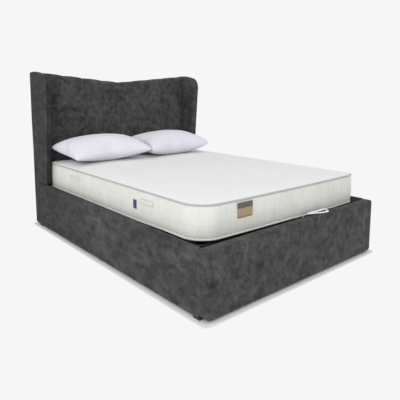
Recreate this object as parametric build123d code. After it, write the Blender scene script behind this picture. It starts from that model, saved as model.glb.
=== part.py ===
from build123d import *
import math
import os

os.makedirs("parts", exist_ok=True)

# A king-size winged ottoman bed. Millimetres, +Z up, the foot towards -Y, the headboard towards +Y.
# The origin is on the floor under the middle of the bed.

# Driving sizes of the whole bed
bed_width = 1620
bed_length = 2320
rail_top = 388
ground_gap = 15
headboard_depth = 100
wing_top = 1345

# Upholstered base
rail_width = 25
rail_cover = 3.5
rail_edge_radius = 7
foot_depth = 68
foot_pad = 10
foot_corner_radius = 35
foot_edge_radius = 12
foot_low_radius = 32

# Headboard
wing_width = 55
wing_board = 25
wing_edge_radius = 17
wing_gap = 4
wing_reach = 248
wing_foot_reach = 175
wing_shoulder_drop = 130
wing_corner_radius = 95
wing_corner_drop = 22
wing_crown_place = 110
wing_crown_drop = 8
pad_depth = 50
pad_side_drop = 11
pad_middle_drop = 83
channel_count = 8
channel_dip = 9
top_scallop = 4
headboard_board = 18
headboard_wrap = 20
post_width = 45
crossrail_height = 60
crossrail_lowest = 120
crossrail_top_drop = 195
back_cloth = 3

# Floor of the storage box
ledge_width = 20
ledge_height = 20
floor_board = 6
floor_board_gap = 2
floor_board_count = 3
beam_width = 45
glide_size = 50
glide_inset = 5

# Lifting mechanism. Pivots in the side view: Y from the front of the headboard, then Z from the
# floor for the lower ones and from the underside of the platform's tubes for the upper ones
rear_pivot_place = (-422, 216)
rear_upper_place = (-283, 28)
front_pivot_place = (-823, 175)
front_upper_place = (-432, 9)
open_pivot_shift = (-3.4, 2.3)
strut_reach = 350
strut_foot_angle = -17.8
lower_plate = 4
lower_plate_margin = 24
arm_gap = 3
arm_thickness = 6
arm_radius = 18
pin_radius = 6
open_hole_radius = 11
running_clearance = 0.05
end_clearance = 0.3
head_radius = 10
head_thickness = 2
sleeve_radius = 9
cover_washer_radius = 17
cover_washer = 3
stud_radius = 4
strut_radius = 10
strut_zone = 27
strut_inset = 12
strut_wall = 1.5
strut_tube_length = 165
strut_end_gap = 14
strut_cap = 8
strut_rod_radius = 4
strut_rod_inside = 30
strut_eye_width = 10
upper_bracket = 4
upper_bracket_drop = 13
upper_bracket_top_gap = 1
upper_bracket_margin = 60

# Platform
platform_foot_inset = 130
platform_head_inset = 205
tube_width = 25
tube_height = 40
tube_low = 318
tube_bend = 60
slat_count = 14
slat_width = 53
slat_thickness = 8
slat_rise = 8
slat_seat = 5.7
slat_end_inset = 6
slat_margin = 115
cap_length = 30
cap_rim = 6.5
cap_height = 15

# Mattress
mattress_side_overhang = 9
mattress_head_overhang = 5
border_height = 188
crown_height = 22
mattress_corner = 105
neck_height = 12
neck_inset = 10
border_shares = ((0, 1), (0.06, 0.42), (0.16, 0.16), (0.32, 0.03), (0.5, 0))
crown_inset = 330
crown_shares = ((0.04, 0.18), (0.12, 0.42), (0.27, 0.68), (0.5, 0.88), (1, 1))
piping_radius = 4.5
soft_gap = 0.3
handle_length = 150
handle_height = 30
handle_thickness = 2
handle_rise = 112
handle_end_inset = 490
label_width = 127
label_height = 90
label_rise = 86
label_side_inset = 280
tag_width = 36
tag_height = 57
tag_rise = 66
tag_foot_inset = 616
cloth_thickness = 1

# Pillows
pillow_width_share = 0.4833
pillow_depth = 462
pillow_above = 105
pillow_below = 92
pillow_corner = 45
pillow_tilt = 6
pillow_angles = (-66, -54, -40, -24, -10, 0, 10, 24, 40, 54, 66)
pillow_left_share = -0.2547
pillow_right_share = 0.2347
pillow_left_gap = 326
pillow_right_gap = 320

# Pull strap
strap_thickness = 1.6
strap_width = 13
strap_bend = 16
strap_right = 322
strap_left = 60
strap_front_inset = 24
strap_tail_left = 56
strap_tail_rise = 12
strap_clamp_width = 40
strap_clamp_height = 20
strap_clamp_thickness = 2

# Fasteners
bolt_radius = 4
bolt_head_radius = 7
bolt_head = 5
bolt_length = 16
screw_radius = 2.5
screw_head_radius = 5
screw_head = 2.5
screw_length = 14
bracket_leg = 60
bracket_thickness = 3
bracket_low = 120
bracket_high = 280
bracket_bolt_inset = 35
wing_bolt_reach = 12
wing_bolt_drop = 30
overrun = 5

# Places that follow
half_width = bed_width / 2
foot_outer = -bed_length / 2
foot_inner = foot_outer + foot_depth
back_face = bed_length / 2
slab_front = back_face - headboard_depth
pad_front = slab_front - pad_depth
rail_inner = half_width - rail_width
wing_inner = half_width - wing_width
wing_low = rail_top + wing_gap
wing_shoulder_height = wing_top - wing_shoulder_drop
pad_top_side = wing_top - pad_side_drop
pad_top_middle = wing_top - pad_middle_drop
crossrail_highest = wing_top - crossrail_top_drop
crossrail_heights = (crossrail_lowest, (crossrail_lowest + crossrail_highest) / 2, crossrail_highest)
board_front = slab_front + headboard_board
board_back = board_front + headboard_board
cloth_front = back_face - back_cloth
plate_inner = rail_inner - lower_plate
arm_outer = plate_inner - arm_gap
arm_inner = arm_outer - arm_thickness
strut_middle = arm_inner - strut_inset
bracket_outer = arm_inner - strut_zone
platform_half = bracket_outer - upper_bracket
platform_foot = foot_outer + platform_foot_inset
platform_head = back_face - platform_head_inset
tube_high = tube_low + tube_height
upper_bracket_low = tube_low - upper_bracket_drop
upper_bracket_high = tube_high - upper_bracket_top_gap
rear_pivot = (slab_front + rear_pivot_place[0], rear_pivot_place[1])
front_pivot = (slab_front + front_pivot_place[0], front_pivot_place[1])
rear_upper_pivot = (slab_front + rear_upper_place[0], tube_low + rear_upper_place[1])
front_upper_pivot = (slab_front + front_upper_place[0], tube_low + front_upper_place[1])
mattress_low = tube_high + slat_seat + slat_rise + slat_thickness + soft_gap
mattress_foot = platform_foot
mattress_head = platform_head + mattress_head_overhang
mattress_length = mattress_head - mattress_foot
mattress_width = 2 * (platform_half + mattress_side_overhang)
border_top = mattress_low + border_height
mattress_top = border_top + crown_height
handle_level = mattress_low + handle_rise
handle_places = (mattress_foot + handle_end_inset, mattress_head - handle_end_inset)
label_low = mattress_low + label_rise
label_left = -mattress_width / 2 + label_side_inset
tag_low = mattress_low + tag_rise
tag_place = mattress_foot + tag_foot_inset
pillow_width = mattress_width * pillow_width_share
pillow_left_middle = (mattress_width * pillow_left_share, pad_front - pillow_left_gap)
pillow_right_middle = (mattress_width * pillow_right_share, pad_front - pillow_right_gap)
strap_front = foot_outer + strap_front_inset
strap_tail_low = tube_low + strap_tail_rise
strap_tail_high = tube_high - strap_tail_rise
floor_low = ground_gap + ledge_height
floor_high = floor_low + floor_board
pin_place = tuple(a + b for a, b in zip(front_upper_pivot, open_pivot_shift))


def box(x0, x1, y0, y1, z0, z1):
    """A straight block between two corners."""
    middle = Pos((x0 + x1) / 2, (y0 + y1) / 2, (z0 + z1) / 2)
    return middle * Box(x1 - x0, y1 - y0, z1 - z0)


def round_x(x0, x1, place, radius):
    """A round bar along X at a (y, z) place."""
    y, z = place
    return Pos((x0 + x1) / 2, y, z) * Rot(0, 90, 0) * Cylinder(radius, abs(x1 - x0))


def round_y(y0, y1, x, z, radius):
    """A round bar along Y."""
    return Pos(x, (y0 + y1) / 2, z) * Rot(90, 0, 0) * Cylinder(radius, abs(y1 - y0))


def plate_x(face, x0, x1):
    """A flat (y, z) outline made into a plate from x0 to x1."""
    return extrude(Plane.YZ.offset(x0) * face, amount=x1 - x0, dir=(1, 0, 0))


def plate_y(face, y0, y1):
    """A flat (x, z) outline made into a plate from y0 to y1."""
    return extrude(Plane.XZ.offset(-y0) * face, amount=y1 - y0, dir=(0, 1, 0))


def plate_z(face, z0, z1):
    """A flat (x, y) outline made into a plate from z0 to z1."""
    return extrude(Plane.XY.offset(z0) * face, amount=z1 - z0, dir=(0, 0, 1))


def other_side(shape):
    return mirror(shape, about=Plane.YZ)


def save(name, *shapes):
    """Write every solid of the shapes as one sub-part."""
    solids = [solid for shape in shapes for solid in shape.solids()]
    export_step(Compound(children=solids), f"parts/{name}.step")
    print(name, len(solids))


def save_pair(name, shape):
    """Write a left piece and its mirror image as two sub-parts."""
    save("left_" + name, shape)
    save("right_" + name, other_side(shape))


def save_both(name, *shapes):
    """Write left pieces and their mirror images as one sub-part."""
    save(name, *shapes, *[other_side(shape) for shape in shapes])


def drilled(shape, *tools):
    for tool in tools:
        shape = shape - tool
    return shape


def side_view(place, angle, reach):
    """The point at an angle and distance from a place in the side view."""
    turn = math.radians(angle)
    return (place[0] + reach * math.cos(turn), place[1] + reach * math.sin(turn))


# Angles and places of the gas strut: both its ends are equally far from the front arm's lower pivot
front_arm_angle = math.degrees(math.atan2(pin_place[1] - front_pivot[1], pin_place[0] - front_pivot[0]))
strut_foot = side_view(front_pivot, strut_foot_angle, strut_reach)
strut_head = side_view(front_pivot, front_arm_angle, strut_reach)
strut_length = math.dist(strut_foot, strut_head)


# Fasteners on the left side, made first because the pieces they hold are drilled for them

def bolt_inwards(y, z):
    """A bolt whose head bears on a bracket on the left rail's inner face."""
    face = -rail_inner + bracket_thickness
    shank = round_x(face - bolt_length - bracket_thickness, face, (y, z), bolt_radius)
    return shank + round_x(face, face + bolt_head, (y, z), bolt_head_radius)


def bolt_endwards(x, z, face, way):
    """A bolt along Y whose head bears on a bracket at face; way is +1 or -1 into the wood."""
    start = face - way * bracket_thickness
    shank = round_y(start, face + way * bolt_length, x, z, bolt_radius)
    return shank + round_y(start - way * bolt_head, start, x, z, bolt_head_radius)


def corner_bolts(corner_y, way):
    """Four bolts of one left corner bracket."""
    levels = (bracket_low + bracket_bolt_inset, bracket_high - bracket_bolt_inset)
    bolts = []
    for level in levels:
        bolts.append(bolt_inwards(corner_y - way * bracket_bolt_inset, level))
        bolts.append(bolt_endwards(-rail_inner + bracket_bolt_inset, level, corner_y, way))
    return bolts


def plate_screw(y, z):
    """A screw through the left lower plate into the rail."""
    shank = round_x(-plate_inner - lower_plate - screw_length, -plate_inner, (y, z), screw_radius)
    return shank + round_x(-plate_inner, -plate_inner + screw_head, (y, z), screw_head_radius)


def lower_screw_places():
    """Screw places along the lower plate's two long edges."""
    shares = (0.2, 0.5, 0.8)
    places = []
    for share in shares:
        y = front_pivot[0] + share * (rear_pivot[0] - front_pivot[0])
        z = front_pivot[1] + share * (rear_pivot[1] - front_pivot[1])
        places.append((y, z))
    for share in shares[1:]:
        y = front_pivot[0] + share * (strut_foot[0] - front_pivot[0])
        z = front_pivot[1] + share * (strut_foot[1] - front_pivot[1])
        places.append((y, z))
    return places


def wing_bolt(z):
    """A bolt from the headboard post out into the left wing's board."""
    y = (board_back + cloth_front) / 2
    post_face = -wing_inner + post_width
    board_face = -half_width + (wing_width + wing_board) / 2
    shank = round_x(board_face - wing_bolt_reach, post_face, (y, z), bolt_radius)
    return shank + round_x(post_face, post_face + bolt_head, (y, z), bolt_head_radius)


foot_bolts = corner_bolts(foot_inner, -1)
head_bolts = corner_bolts(slab_front, 1)
plate_screws = [plate_screw(y, z) for y, z in lower_screw_places()]
wing_bolts = [wing_bolt(z - wing_bolt_drop) for z in crossrail_heights]


# Upholstered base

def side_rail():
    """The left rail's board and the padded cover round it, open underneath."""
    y0, y1 = foot_inner, slab_front
    board = box(-half_width + rail_cover, -rail_inner - rail_cover, y0, y1,
                ground_gap, rail_top - rail_cover)
    outer = box(-half_width, -rail_inner, y0, y1, ground_gap, rail_top)
    edges = outer.edges().filter_by(Axis.Y).sort_by(Axis.Z)[-2:]
    cover = fillet(edges, rail_edge_radius) - board
    tools = foot_bolts + head_bolts + plate_screws
    return drilled(board, *tools), drilled(cover, *tools)


def low_corners_rounded(shape, half, radius):
    """The shape within a frame whose two lower corners are round as seen from the foot."""
    frame = box(-half, half, foot_outer - overrun, foot_inner + overrun, ground_gap, rail_top + overrun)
    return shape & fillet(frame.edges().filter_by(Axis.Y).sort_by(Axis.Z)[:2], radius)


def foot_panel():
    """The foot panel's core and its thicker padded cover with rounded corners."""
    outer = box(-half_width, half_width, foot_outer, foot_inner, ground_gap, rail_top)
    corners = outer.edges().filter_by(Axis.Z).sort_by(Axis.Y)[:2]
    outer = fillet(corners, foot_corner_radius)
    outer = fillet(outer.faces().sort_by(Axis.Z)[-1].edges(), foot_edge_radius)
    outer = low_corners_rounded(outer, half_width, foot_low_radius)
    core = box(-half_width + foot_pad, half_width - foot_pad, foot_outer + foot_pad,
               foot_inner - foot_pad, ground_gap, rail_top - foot_pad)
    corners = core.edges().filter_by(Axis.Z).sort_by(Axis.Y)[:2]
    core = fillet(corners, foot_corner_radius - foot_pad)
    core = low_corners_rounded(core, half_width - foot_pad, foot_low_radius - foot_pad)
    tools = foot_bolts + [other_side(bolt) for bolt in foot_bolts]
    return drilled(core, *tools), drilled(outer - core, *tools)


def wing_board_outline(inset):
    """The wing's board: straight cuts that stay inside the padding all round."""
    front = slab_front - wing_reach + inset
    top = wing_top - wing_corner_drop - inset
    back, step = back_face - inset, slab_front + inset
    return Polygon((slab_front - wing_foot_reach + inset, wing_low + inset), (front, wing_shoulder_height),
                   (front + wing_corner_radius, top), (back, top), (back, ground_gap + inset),
                   (step, ground_gap + inset), (step, wing_low + inset), align=None)


def wing_outline():
    """The wing seen from the side: a foot behind the rail, a leaning front edge, a rounded top."""
    foot = (slab_front - wing_foot_reach, wing_low)
    shoulder = (slab_front - wing_reach, wing_shoulder_height)
    lean = (shoulder[0] - foot[0], shoulder[1] - foot[1])
    corner_end = (shoulder[0] + wing_corner_radius, wing_top - wing_corner_drop)
    crown = (back_face - wing_crown_place, wing_top)
    back_top = (back_face, wing_top - wing_crown_drop)
    lines = [
        Line(foot, shoulder),
        TangentArc(shoulder, corner_end, tangent=lean),
        ThreePointArc(corner_end, crown, back_top),
        Line(back_top, (back_face, ground_gap)),
        Line((back_face, ground_gap), (slab_front, ground_gap)),
        Line((slab_front, ground_gap), (slab_front, wing_low)),
        Line((slab_front, wing_low), foot),
    ]
    return make_face(lines)


def wing():
    """The left wing's board and its padded cover."""
    outer = plate_x(wing_outline(), -half_width, -wing_inner)
    middle = -(half_width + wing_inner) / 2
    sides = [edge for edge in outer.edges() if abs(edge.center().X - middle) > overrun]
    low, back = wing_low + overrun, back_face - overrun
    rim = [edge for edge in sides if edge.center().Z > low and edge.center().Y < back]
    outer = fillet(rim, wing_edge_radius)
    margin = (wing_width - wing_board) / 2
    board = plate_x(wing_board_outline(margin), -half_width + margin, -wing_inner - margin)
    tools = wing_bolts
    return drilled(board, *tools), drilled(outer - board, *tools)


def pad_top_outline(low, drop):
    """The padded panel seen from the front: its top falls in a shallow V and is gently scalloped."""
    step = 2 * wing_inner / channel_count
    fall = (pad_top_side - pad_top_middle) / wing_inner
    points = [(-wing_inner + step * i, pad_top_middle + fall * abs(-wing_inner + step * i) - drop)
              for i in range(channel_count + 1)]
    lines = []
    for start, end in zip(points, points[1:]):
        crest = ((start[0] + end[0]) / 2, (start[1] + end[1]) / 2 + top_scallop)
        lines.append(ThreePointArc(start, crest, end))
    lines.append(Line(points[-1], (wing_inner, low)))
    lines.append(Line((wing_inner, low), (-wing_inner, low)))
    lines.append(Line((-wing_inner, low), points[0]))
    return make_face(lines)


def channel_plan():
    """The padded panel seen from above: one soft arc for each upright channel."""
    step = 2 * wing_inner / channel_count
    cusp = pad_front + channel_dip
    lines = []
    for i in range(channel_count):
        x0 = -wing_inner + step * i
        lines.append(ThreePointArc((x0, cusp), (x0 + step / 2, pad_front), (x0 + step, cusp)))
    lines.append(Line((wing_inner, cusp), (wing_inner, board_front)))
    lines.append(Line((wing_inner, board_front), (-wing_inner, board_front)))
    lines.append(Line((-wing_inner, board_front), (-wing_inner, cusp)))
    return make_face(lines)


def headboard_pad():
    """Front padding in channels and the wrap over the top."""
    top = pad_top_side + top_scallop + overrun
    front = plate_z(channel_plan(), wing_low, top)
    front = front & plate_y(pad_top_outline(wing_low, 0), pad_front, board_front)
    wrap = plate_y(pad_top_outline(wing_low, 0), board_front, cloth_front)
    wrap = wrap - plate_y(pad_top_outline(wing_low - overrun, headboard_wrap), board_front, cloth_front)
    return front + wrap


def headboard_lower_pad():
    """The thin padding below the channels, down inside the storage box."""
    pad = box(-wing_inner, wing_inner, slab_front, board_front, ground_gap, wing_low)
    return drilled(pad, *head_bolts, *[other_side(bolt) for bolt in head_bolts])


def headboard_board_shape():
    """The full-height board behind the padding."""
    board = plate_y(pad_top_outline(ground_gap, headboard_wrap), board_front, board_back)
    return drilled(board, *head_bolts, *[other_side(bolt) for bolt in head_bolts])


def headboard_post():
    """The left post behind the board, down to the glide."""
    top = crossrail_heights[-1] + crossrail_height
    return box(-wing_inner, -wing_inner + post_width, board_back, cloth_front, ground_gap, top)


def crossrail(z):
    """A timber between the posts."""
    reach = wing_inner - post_width
    return box(-reach, reach, board_back, cloth_front, z, z + crossrail_height)


# Storage floor

def ledge():
    """The left batten that carries the storage floor."""
    return box(-rail_inner, -rail_inner + ledge_width, foot_inner, slab_front, ground_gap, floor_low)


def floor_boards():
    """Thin boards laid side by side across the ledges and the beam."""
    length = (slab_front - foot_inner - floor_board_gap * (floor_board_count + 1)) / floor_board_count
    reach = rail_inner - floor_board_gap
    boards = []
    for i in range(floor_board_count):
        start = foot_inner + floor_board_gap + i * (length + floor_board_gap)
        boards.append(box(-reach, reach, start, start + length, floor_low, floor_high))
    return boards


def glide(x, y):
    """A square plastic glide."""
    half = glide_size / 2
    return box(x - half, x + half, y - half, y + half, 0, ground_gap)


# Mechanism on the left side

def link(start, end):
    """A flat arm with round ends."""
    angle = math.degrees(math.atan2(end[1] - start[1], end[0] - start[0]))
    middle = Pos((start[0] + end[0]) / 2, (start[1] + end[1]) / 2)
    outline = middle * Rot(0, 0, angle) * SlotCenterToCenter(math.dist(start, end), 2 * arm_radius)
    return plate_x(outline, -arm_outer, -arm_inner)


def hole(place, radius):
    """A drill along X through everything in the mechanism."""
    return round_x(-half_width, -platform_half + tube_width, place, radius)


def lower_plate_shape():
    """The plate screwed to the rail, drilled for its pins and screws."""
    corners = Polygon(front_pivot, strut_foot, rear_pivot, align=None)
    outline = offset(corners, lower_plate_margin, kind=Kind.ARC)
    plate = plate_x(outline, -rail_inner, -plate_inner)
    tools = [hole(rear_pivot, pin_radius), hole(front_pivot, pin_radius), hole(strut_foot, stud_radius)]
    return drilled(plate, *tools, *plate_screws)


def lower_pin(place):
    """A pin fixed in the lower plate, with a collar behind the arm and a head in front of it."""
    shank = round_x(-rail_inner, -arm_inner + end_clearance, place, pin_radius)
    collar = round_x(-plate_inner, -arm_outer - end_clearance, place, head_radius)
    head_start = -arm_inner + end_clearance
    head = round_x(head_start, head_start + head_thickness, place, head_radius)
    return shank + collar + head


def strut_stud(start, face, place):
    """A stud from start that carries one eye of the strut, with a collar from face and a cap in front."""
    eye_outer = -strut_middle - strut_eye_width / 2
    eye_inner = -strut_middle + strut_eye_width / 2
    cap_start = eye_inner + end_clearance
    shank = round_x(start, cap_start, place, stud_radius)
    collar = round_x(face, eye_outer - end_clearance, place, stud_radius * 2)
    cap = round_x(cap_start, cap_start + head_thickness, place, stud_radius * 2)
    return shank + collar + cap


def rear_arm():
    arm = link(rear_pivot, rear_upper_pivot)
    tools = [hole(rear_pivot, pin_radius + running_clearance),
             hole(rear_upper_pivot, pin_radius + running_clearance)]
    return drilled(arm, *tools)


def front_arm():
    arm = link(front_pivot, pin_place)
    tools = [hole(front_pivot, pin_radius + running_clearance), hole(pin_place, pin_radius),
             hole(strut_head, stud_radius)]
    return drilled(arm, *tools)


def front_arm_pin():
    """The pin at the open pivot: its washer hides the wide hole in the bracket."""
    shank = round_x(-arm_outer, -platform_half - end_clearance, pin_place, pin_radius)
    washer_inner = -bracket_outer - end_clearance
    sleeve = round_x(-arm_inner, washer_inner - cover_washer, pin_place, sleeve_radius)
    washer = round_x(washer_inner - cover_washer, washer_inner, pin_place, cover_washer_radius)
    return shank + sleeve + washer


def rear_arm_pin():
    """The pin fixed in the bracket, on which the rear arm's upper end turns."""
    outer = -arm_outer - end_clearance
    shank = round_x(outer, -platform_half, rear_upper_pivot, pin_radius)
    sleeve = round_x(-arm_inner + end_clearance, -bracket_outer, rear_upper_pivot, sleeve_radius)
    head = round_x(outer - head_thickness, outer, rear_upper_pivot, head_radius)
    return shank + sleeve + head


def bracket_screw_places():
    """Screws through the upper bracket into the platform's side tube."""
    level = (upper_bracket_low + tube_low) / 2 + tube_height / 2
    inset = upper_bracket_margin / 2
    return [(front_upper_pivot[0] - inset, level), (rear_upper_pivot[0] + inset, level),
            ((front_upper_pivot[0] + rear_upper_pivot[0]) / 2, level)]


def bracket_screw(place):
    shank = round_x(-bracket_outer, -platform_half + tube_width / 2, place, screw_radius)
    return shank + round_x(-bracket_outer - screw_head, -bracket_outer, place, screw_head_radius)


bracket_screws = [bracket_screw(place) for place in bracket_screw_places()]


def upper_bracket_shape():
    """The plate on the platform's side tube that both arms hold."""
    y0 = front_upper_pivot[0] - upper_bracket_margin
    y1 = rear_upper_pivot[0] + upper_bracket_margin
    plate = box(-bracket_outer, -platform_half, y0, y1, upper_bracket_low, upper_bracket_high)
    tools = [hole(rear_upper_pivot, pin_radius), hole(front_upper_pivot, open_hole_radius)]
    return drilled(plate, *tools, *bracket_screws)


def along_strut(radius, start, end):
    """A round bar on the strut's own line, from start to end as distances from its foot."""
    share = (start + end) / 2 / strut_length
    middle = (strut_foot[0] + share * (strut_head[0] - strut_foot[0]),
              strut_foot[1] + share * (strut_head[1] - strut_foot[1]))
    tilt = math.degrees(math.atan2(strut_foot[0] - strut_head[0], strut_head[1] - strut_foot[1]))
    return Pos(-strut_middle, *middle) * Rot(tilt, 0, 0) * Cylinder(radius, end - start)


def strut_eye(place):
    half = strut_eye_width / 2
    return round_x(-strut_middle - half, -strut_middle + half, place, strut_radius) - hole(
        place, stud_radius + running_clearance)


def strut_cylinder():
    """The tube with its lower eye, open for the rod at the top."""
    end = strut_end_gap + strut_tube_length
    tube = along_strut(strut_radius, strut_end_gap, end)
    bore = along_strut(strut_radius - strut_wall, strut_end_gap + strut_cap, end - strut_cap)
    neck = along_strut(strut_rod_radius + running_clearance * 2, end - strut_cap * 2, end + overrun)
    stem = along_strut(strut_rod_radius, strut_radius / 2, strut_end_gap)
    stem = stem - hole(strut_foot, strut_radius / 2 + running_clearance)
    return tube - bore - neck + stem + strut_eye(strut_foot)


def strut_rod():
    """The rod with its piston inside the tube and its eye at the top."""
    rod = along_strut(strut_rod_radius, strut_rod_inside, strut_length - strut_radius / 2)
    rod = rod - hole(strut_head, strut_radius / 2 + running_clearance)
    piston_radius = strut_radius - strut_wall - running_clearance * 2
    piston = along_strut(piston_radius, strut_rod_inside, strut_rod_inside + strut_cap)
    return rod + piston + strut_eye(strut_head)


# Platform

def side_tube():
    y0, y1 = platform_foot + tube_bend, platform_head - tube_width
    return box(-platform_half, -platform_half + tube_width, y0, y1, tube_low, tube_high)


def head_tube():
    return box(-platform_half, platform_half, platform_head - tube_width, platform_head, tube_low, tube_high)


def centre_tube():
    half = tube_width / 2
    return box(-half, half, platform_foot + tube_width, platform_head - tube_width, tube_low, tube_high)


def foot_tube():
    """The foot end's tube with its bent corners."""
    y0, y1 = platform_foot, platform_foot + tube_bend
    outer = box(-platform_half, platform_half, y0, y1, tube_low, tube_high)
    outer = fillet(outer.edges().filter_by(Axis.Z).sort_by(Axis.Y)[:2], tube_bend - overrun)
    inner = box(-platform_half + tube_width, platform_half - tube_width, y0 + tube_width, y1 + overrun,
                tube_low - overrun, tube_high + overrun)
    inner = fillet(inner.edges().filter_by(Axis.Z).sort_by(Axis.Y)[:2], tube_bend - overrun - tube_width)
    return outer - inner


def slat_places():
    run = platform_head - platform_foot - 2 * slat_margin
    return [platform_foot + slat_margin + run * i / (slat_count - 1) for i in range(slat_count)]


def slat(y):
    """A sprung slat of the left row, bowed upwards."""
    x0, x1 = -platform_half + slat_end_inset, -slat_end_inset
    low = tube_high + slat_seat
    middle = (x0 + x1) / 2
    lines = [
        ThreePointArc((x0, low), (middle, low + slat_rise), (x1, low)),
        Line((x1, low), (x1, low + slat_thickness)),
        ThreePointArc((x1, low + slat_thickness), (middle, low + slat_rise + slat_thickness),
                      (x0, low + slat_thickness)),
        Line((x0, low + slat_thickness), (x0, low)),
    ]
    return plate_y(make_face(lines), y - slat_width / 2, y + slat_width / 2)


def slat_caps(y, slats):
    """Two end holders and the double holder on the centre tube, with pockets for the slats."""
    half = slat_width / 2 + cap_rim
    high = tube_high + cap_height
    left = box(-platform_half, -platform_half + cap_length, y - half, y + half, tube_high, high)
    double = box(-cap_length, cap_length, y - half, y + half, tube_high, high)
    return [drilled(cap, *slats) for cap in (left, other_side(left), double)]


# Mattress and bedding

def plan(width, length, radius, middle, height):
    """A rounded rectangle at a height."""
    return Pos(middle[0], middle[1], height) * RectangleRounded(width, length, radius)


def mattress_plan(inset, height):
    middle = (0, (mattress_foot + mattress_head) / 2)
    width, length = mattress_width - 2 * inset, mattress_length - 2 * inset
    return plan(width, length, max(mattress_corner - inset, mattress_corner / 3), middle, height)


def mattress():
    """The crowned mattress, drawn in under both pipings."""
    neck_top = mattress_low + neck_height
    border_end = border_top - neck_height
    rise = border_end - neck_top
    lower = [mattress_plan(inset * neck_inset, neck_top + share * rise) for share, inset in border_shares]
    upper = [mattress_plan(inset * neck_inset, border_end - share * rise) for share, inset in border_shares]
    border = loft(lower + upper[-2::-1], ruled=True)
    low_neck = plate_z(mattress_plan(neck_inset, 0), mattress_low, neck_top)
    high_neck = plate_z(mattress_plan(neck_inset, 0), border_end, border_top)
    levels = [mattress_plan(neck_inset, border_top)]
    for inset, share in crown_shares:
        level = border_top + share * (mattress_top - border_top)
        levels.append(mattress_plan(neck_inset + inset * crown_inset, level))
    crown = loft(levels, ruled=True)
    return low_neck + border + high_neck + crown


def piping_ring(height):
    """A round cord that runs right round the mattress in its drawn-in neck."""
    inset = neck_inset - piping_radius - soft_gap
    path = mattress_plan(inset, height).face().outer_wire()
    start = path @ 0
    section = Plane(origin=start, z_dir=path % 0) * Circle(piping_radius)
    return sweep(section, path=path)


def handle(y):
    """A cloth carrying handle on the left border."""
    x = -mattress_width / 2 - soft_gap
    return box(x - handle_thickness, x, y - handle_length / 2, y + handle_length / 2, handle_level,
               handle_level + handle_height)


def label():
    y = mattress_foot - soft_gap
    right, high = label_left + label_width, label_low + label_height
    return box(label_left, right, y - cloth_thickness, y, label_low, high)


def side_tag():
    x = -mattress_width / 2 - soft_gap
    return box(x - cloth_thickness, x, tag_place - tag_width / 2, tag_place + tag_width / 2, tag_low,
               tag_low + tag_height)


def pillow(middle):
    """A plump pillow: widest at its seam, domed above and below, leaning back a little."""
    outlines = []
    for angle in pillow_angles:
        inset = (1 - math.cos(math.radians(angle))) * pillow_depth
        depth = pillow_above if angle > 0 else pillow_below
        height = depth * math.sin(math.radians(angle)) / math.sin(math.radians(pillow_angles[-1]))
        width, length = pillow_width - inset, pillow_depth - inset
        outlines.append(plan(width, length, pillow_corner + inset / 8, (0, 0), height))
    body = Rot(pillow_tilt, 0, 0) * loft(outlines, ruled=True)
    lowest = body.bounding_box().min.Z
    return Pos(middle[0], middle[1], mattress_top + soft_gap - lowest) * body


# Pull strap

def strap_outline():
    """The strap's loop seen from above, lying over the foot panel."""
    rear = strap_front + 2 * strap_bend
    turn = strap_right - strap_bend
    middle = strap_front + strap_bend
    centre_line = [
        Line((strap_left, rear), (turn, rear)),
        ThreePointArc((turn, rear), (strap_right, middle), (turn, strap_front)),
        Line((turn, strap_front), (strap_left, rear - strap_thickness * 2)),
    ]
    return Wire(centre_line)


def pull_strap():
    """The webbing loop, and its tail down or up to the platform's foot tube."""
    low = rail_top + soft_gap
    rear = strap_front + 2 * strap_bend
    outline = make_face(offset(strap_outline(), strap_thickness / 2, side=Side.BOTH))
    band = plate_z(outline, low, low + strap_width)
    face = platform_foot - soft_gap
    high = low + strap_thickness
    over = box(strap_tail_left, strap_left + strap_width, rear - strap_thickness, face, low, high)
    right = strap_tail_left + strap_width
    tail = box(strap_tail_left, right, face - strap_thickness, face,
               min(strap_tail_low, low), max(strap_tail_high, high))
    return band + over + tail


def strap_clamp():
    """The plate that holds the strap's tail against the foot tube."""
    face = platform_foot - soft_gap - strap_thickness
    middle = strap_tail_left + strap_width / 2
    low = tube_low + (tube_height - strap_clamp_height) / 2
    half, outer = strap_clamp_width / 2, face - strap_clamp_thickness
    plate = box(middle - half, middle + half, outer, face, low, low + strap_clamp_height)
    screws = []
    for side in (-1, 1):
        x = middle + side * (strap_clamp_width + strap_width) / 4
        level = low + strap_clamp_height / 2
        shank = round_y(outer, platform_foot + tube_width / 2, x, level, screw_radius)
        head = round_y(outer - screw_head, outer, x, level, screw_head_radius)
        screws.append(shank + head)
    return drilled(plate, *screws), screws


# Brackets

def corner_bracket(corner_y, way, bolts):
    """A bent steel angle in one left corner of the box."""
    along = box(-rail_inner, -rail_inner + bracket_thickness, min(corner_y, corner_y - way * bracket_leg),
                max(corner_y, corner_y - way * bracket_leg), bracket_low, bracket_high)
    across = box(-rail_inner, -rail_inner + bracket_leg, min(corner_y, corner_y - way * bracket_thickness),
                 max(corner_y, corner_y - way * bracket_thickness), bracket_low, bracket_high)
    return drilled(along + across, *bolts)


board, cover = side_rail()
save_pair("side_rail_board", board)
save_pair("side_rail_cover", cover)
core, cover = foot_panel()
save("foot_panel_core", core)
save("foot_panel_cover", cover)

board, cover = wing()
save_pair("wing_board", board)
save_pair("wing_cover", cover)
both_wing_bolts = wing_bolts + [other_side(bolt) for bolt in wing_bolts]
both_head_bolts = head_bolts + [other_side(bolt) for bolt in head_bolts]
save("headboard_pad", headboard_pad())
save("headboard_lower_pad", headboard_lower_pad())
save("headboard_board", headboard_board_shape())
save_both("headboard_posts", drilled(headboard_post(), *wing_bolts))
save("headboard_crossrails", *[crossrail(z) for z in crossrail_heights])
save("headboard_back_cloth", plate_y(pad_top_outline(ground_gap, 0), cloth_front, back_face))

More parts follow.
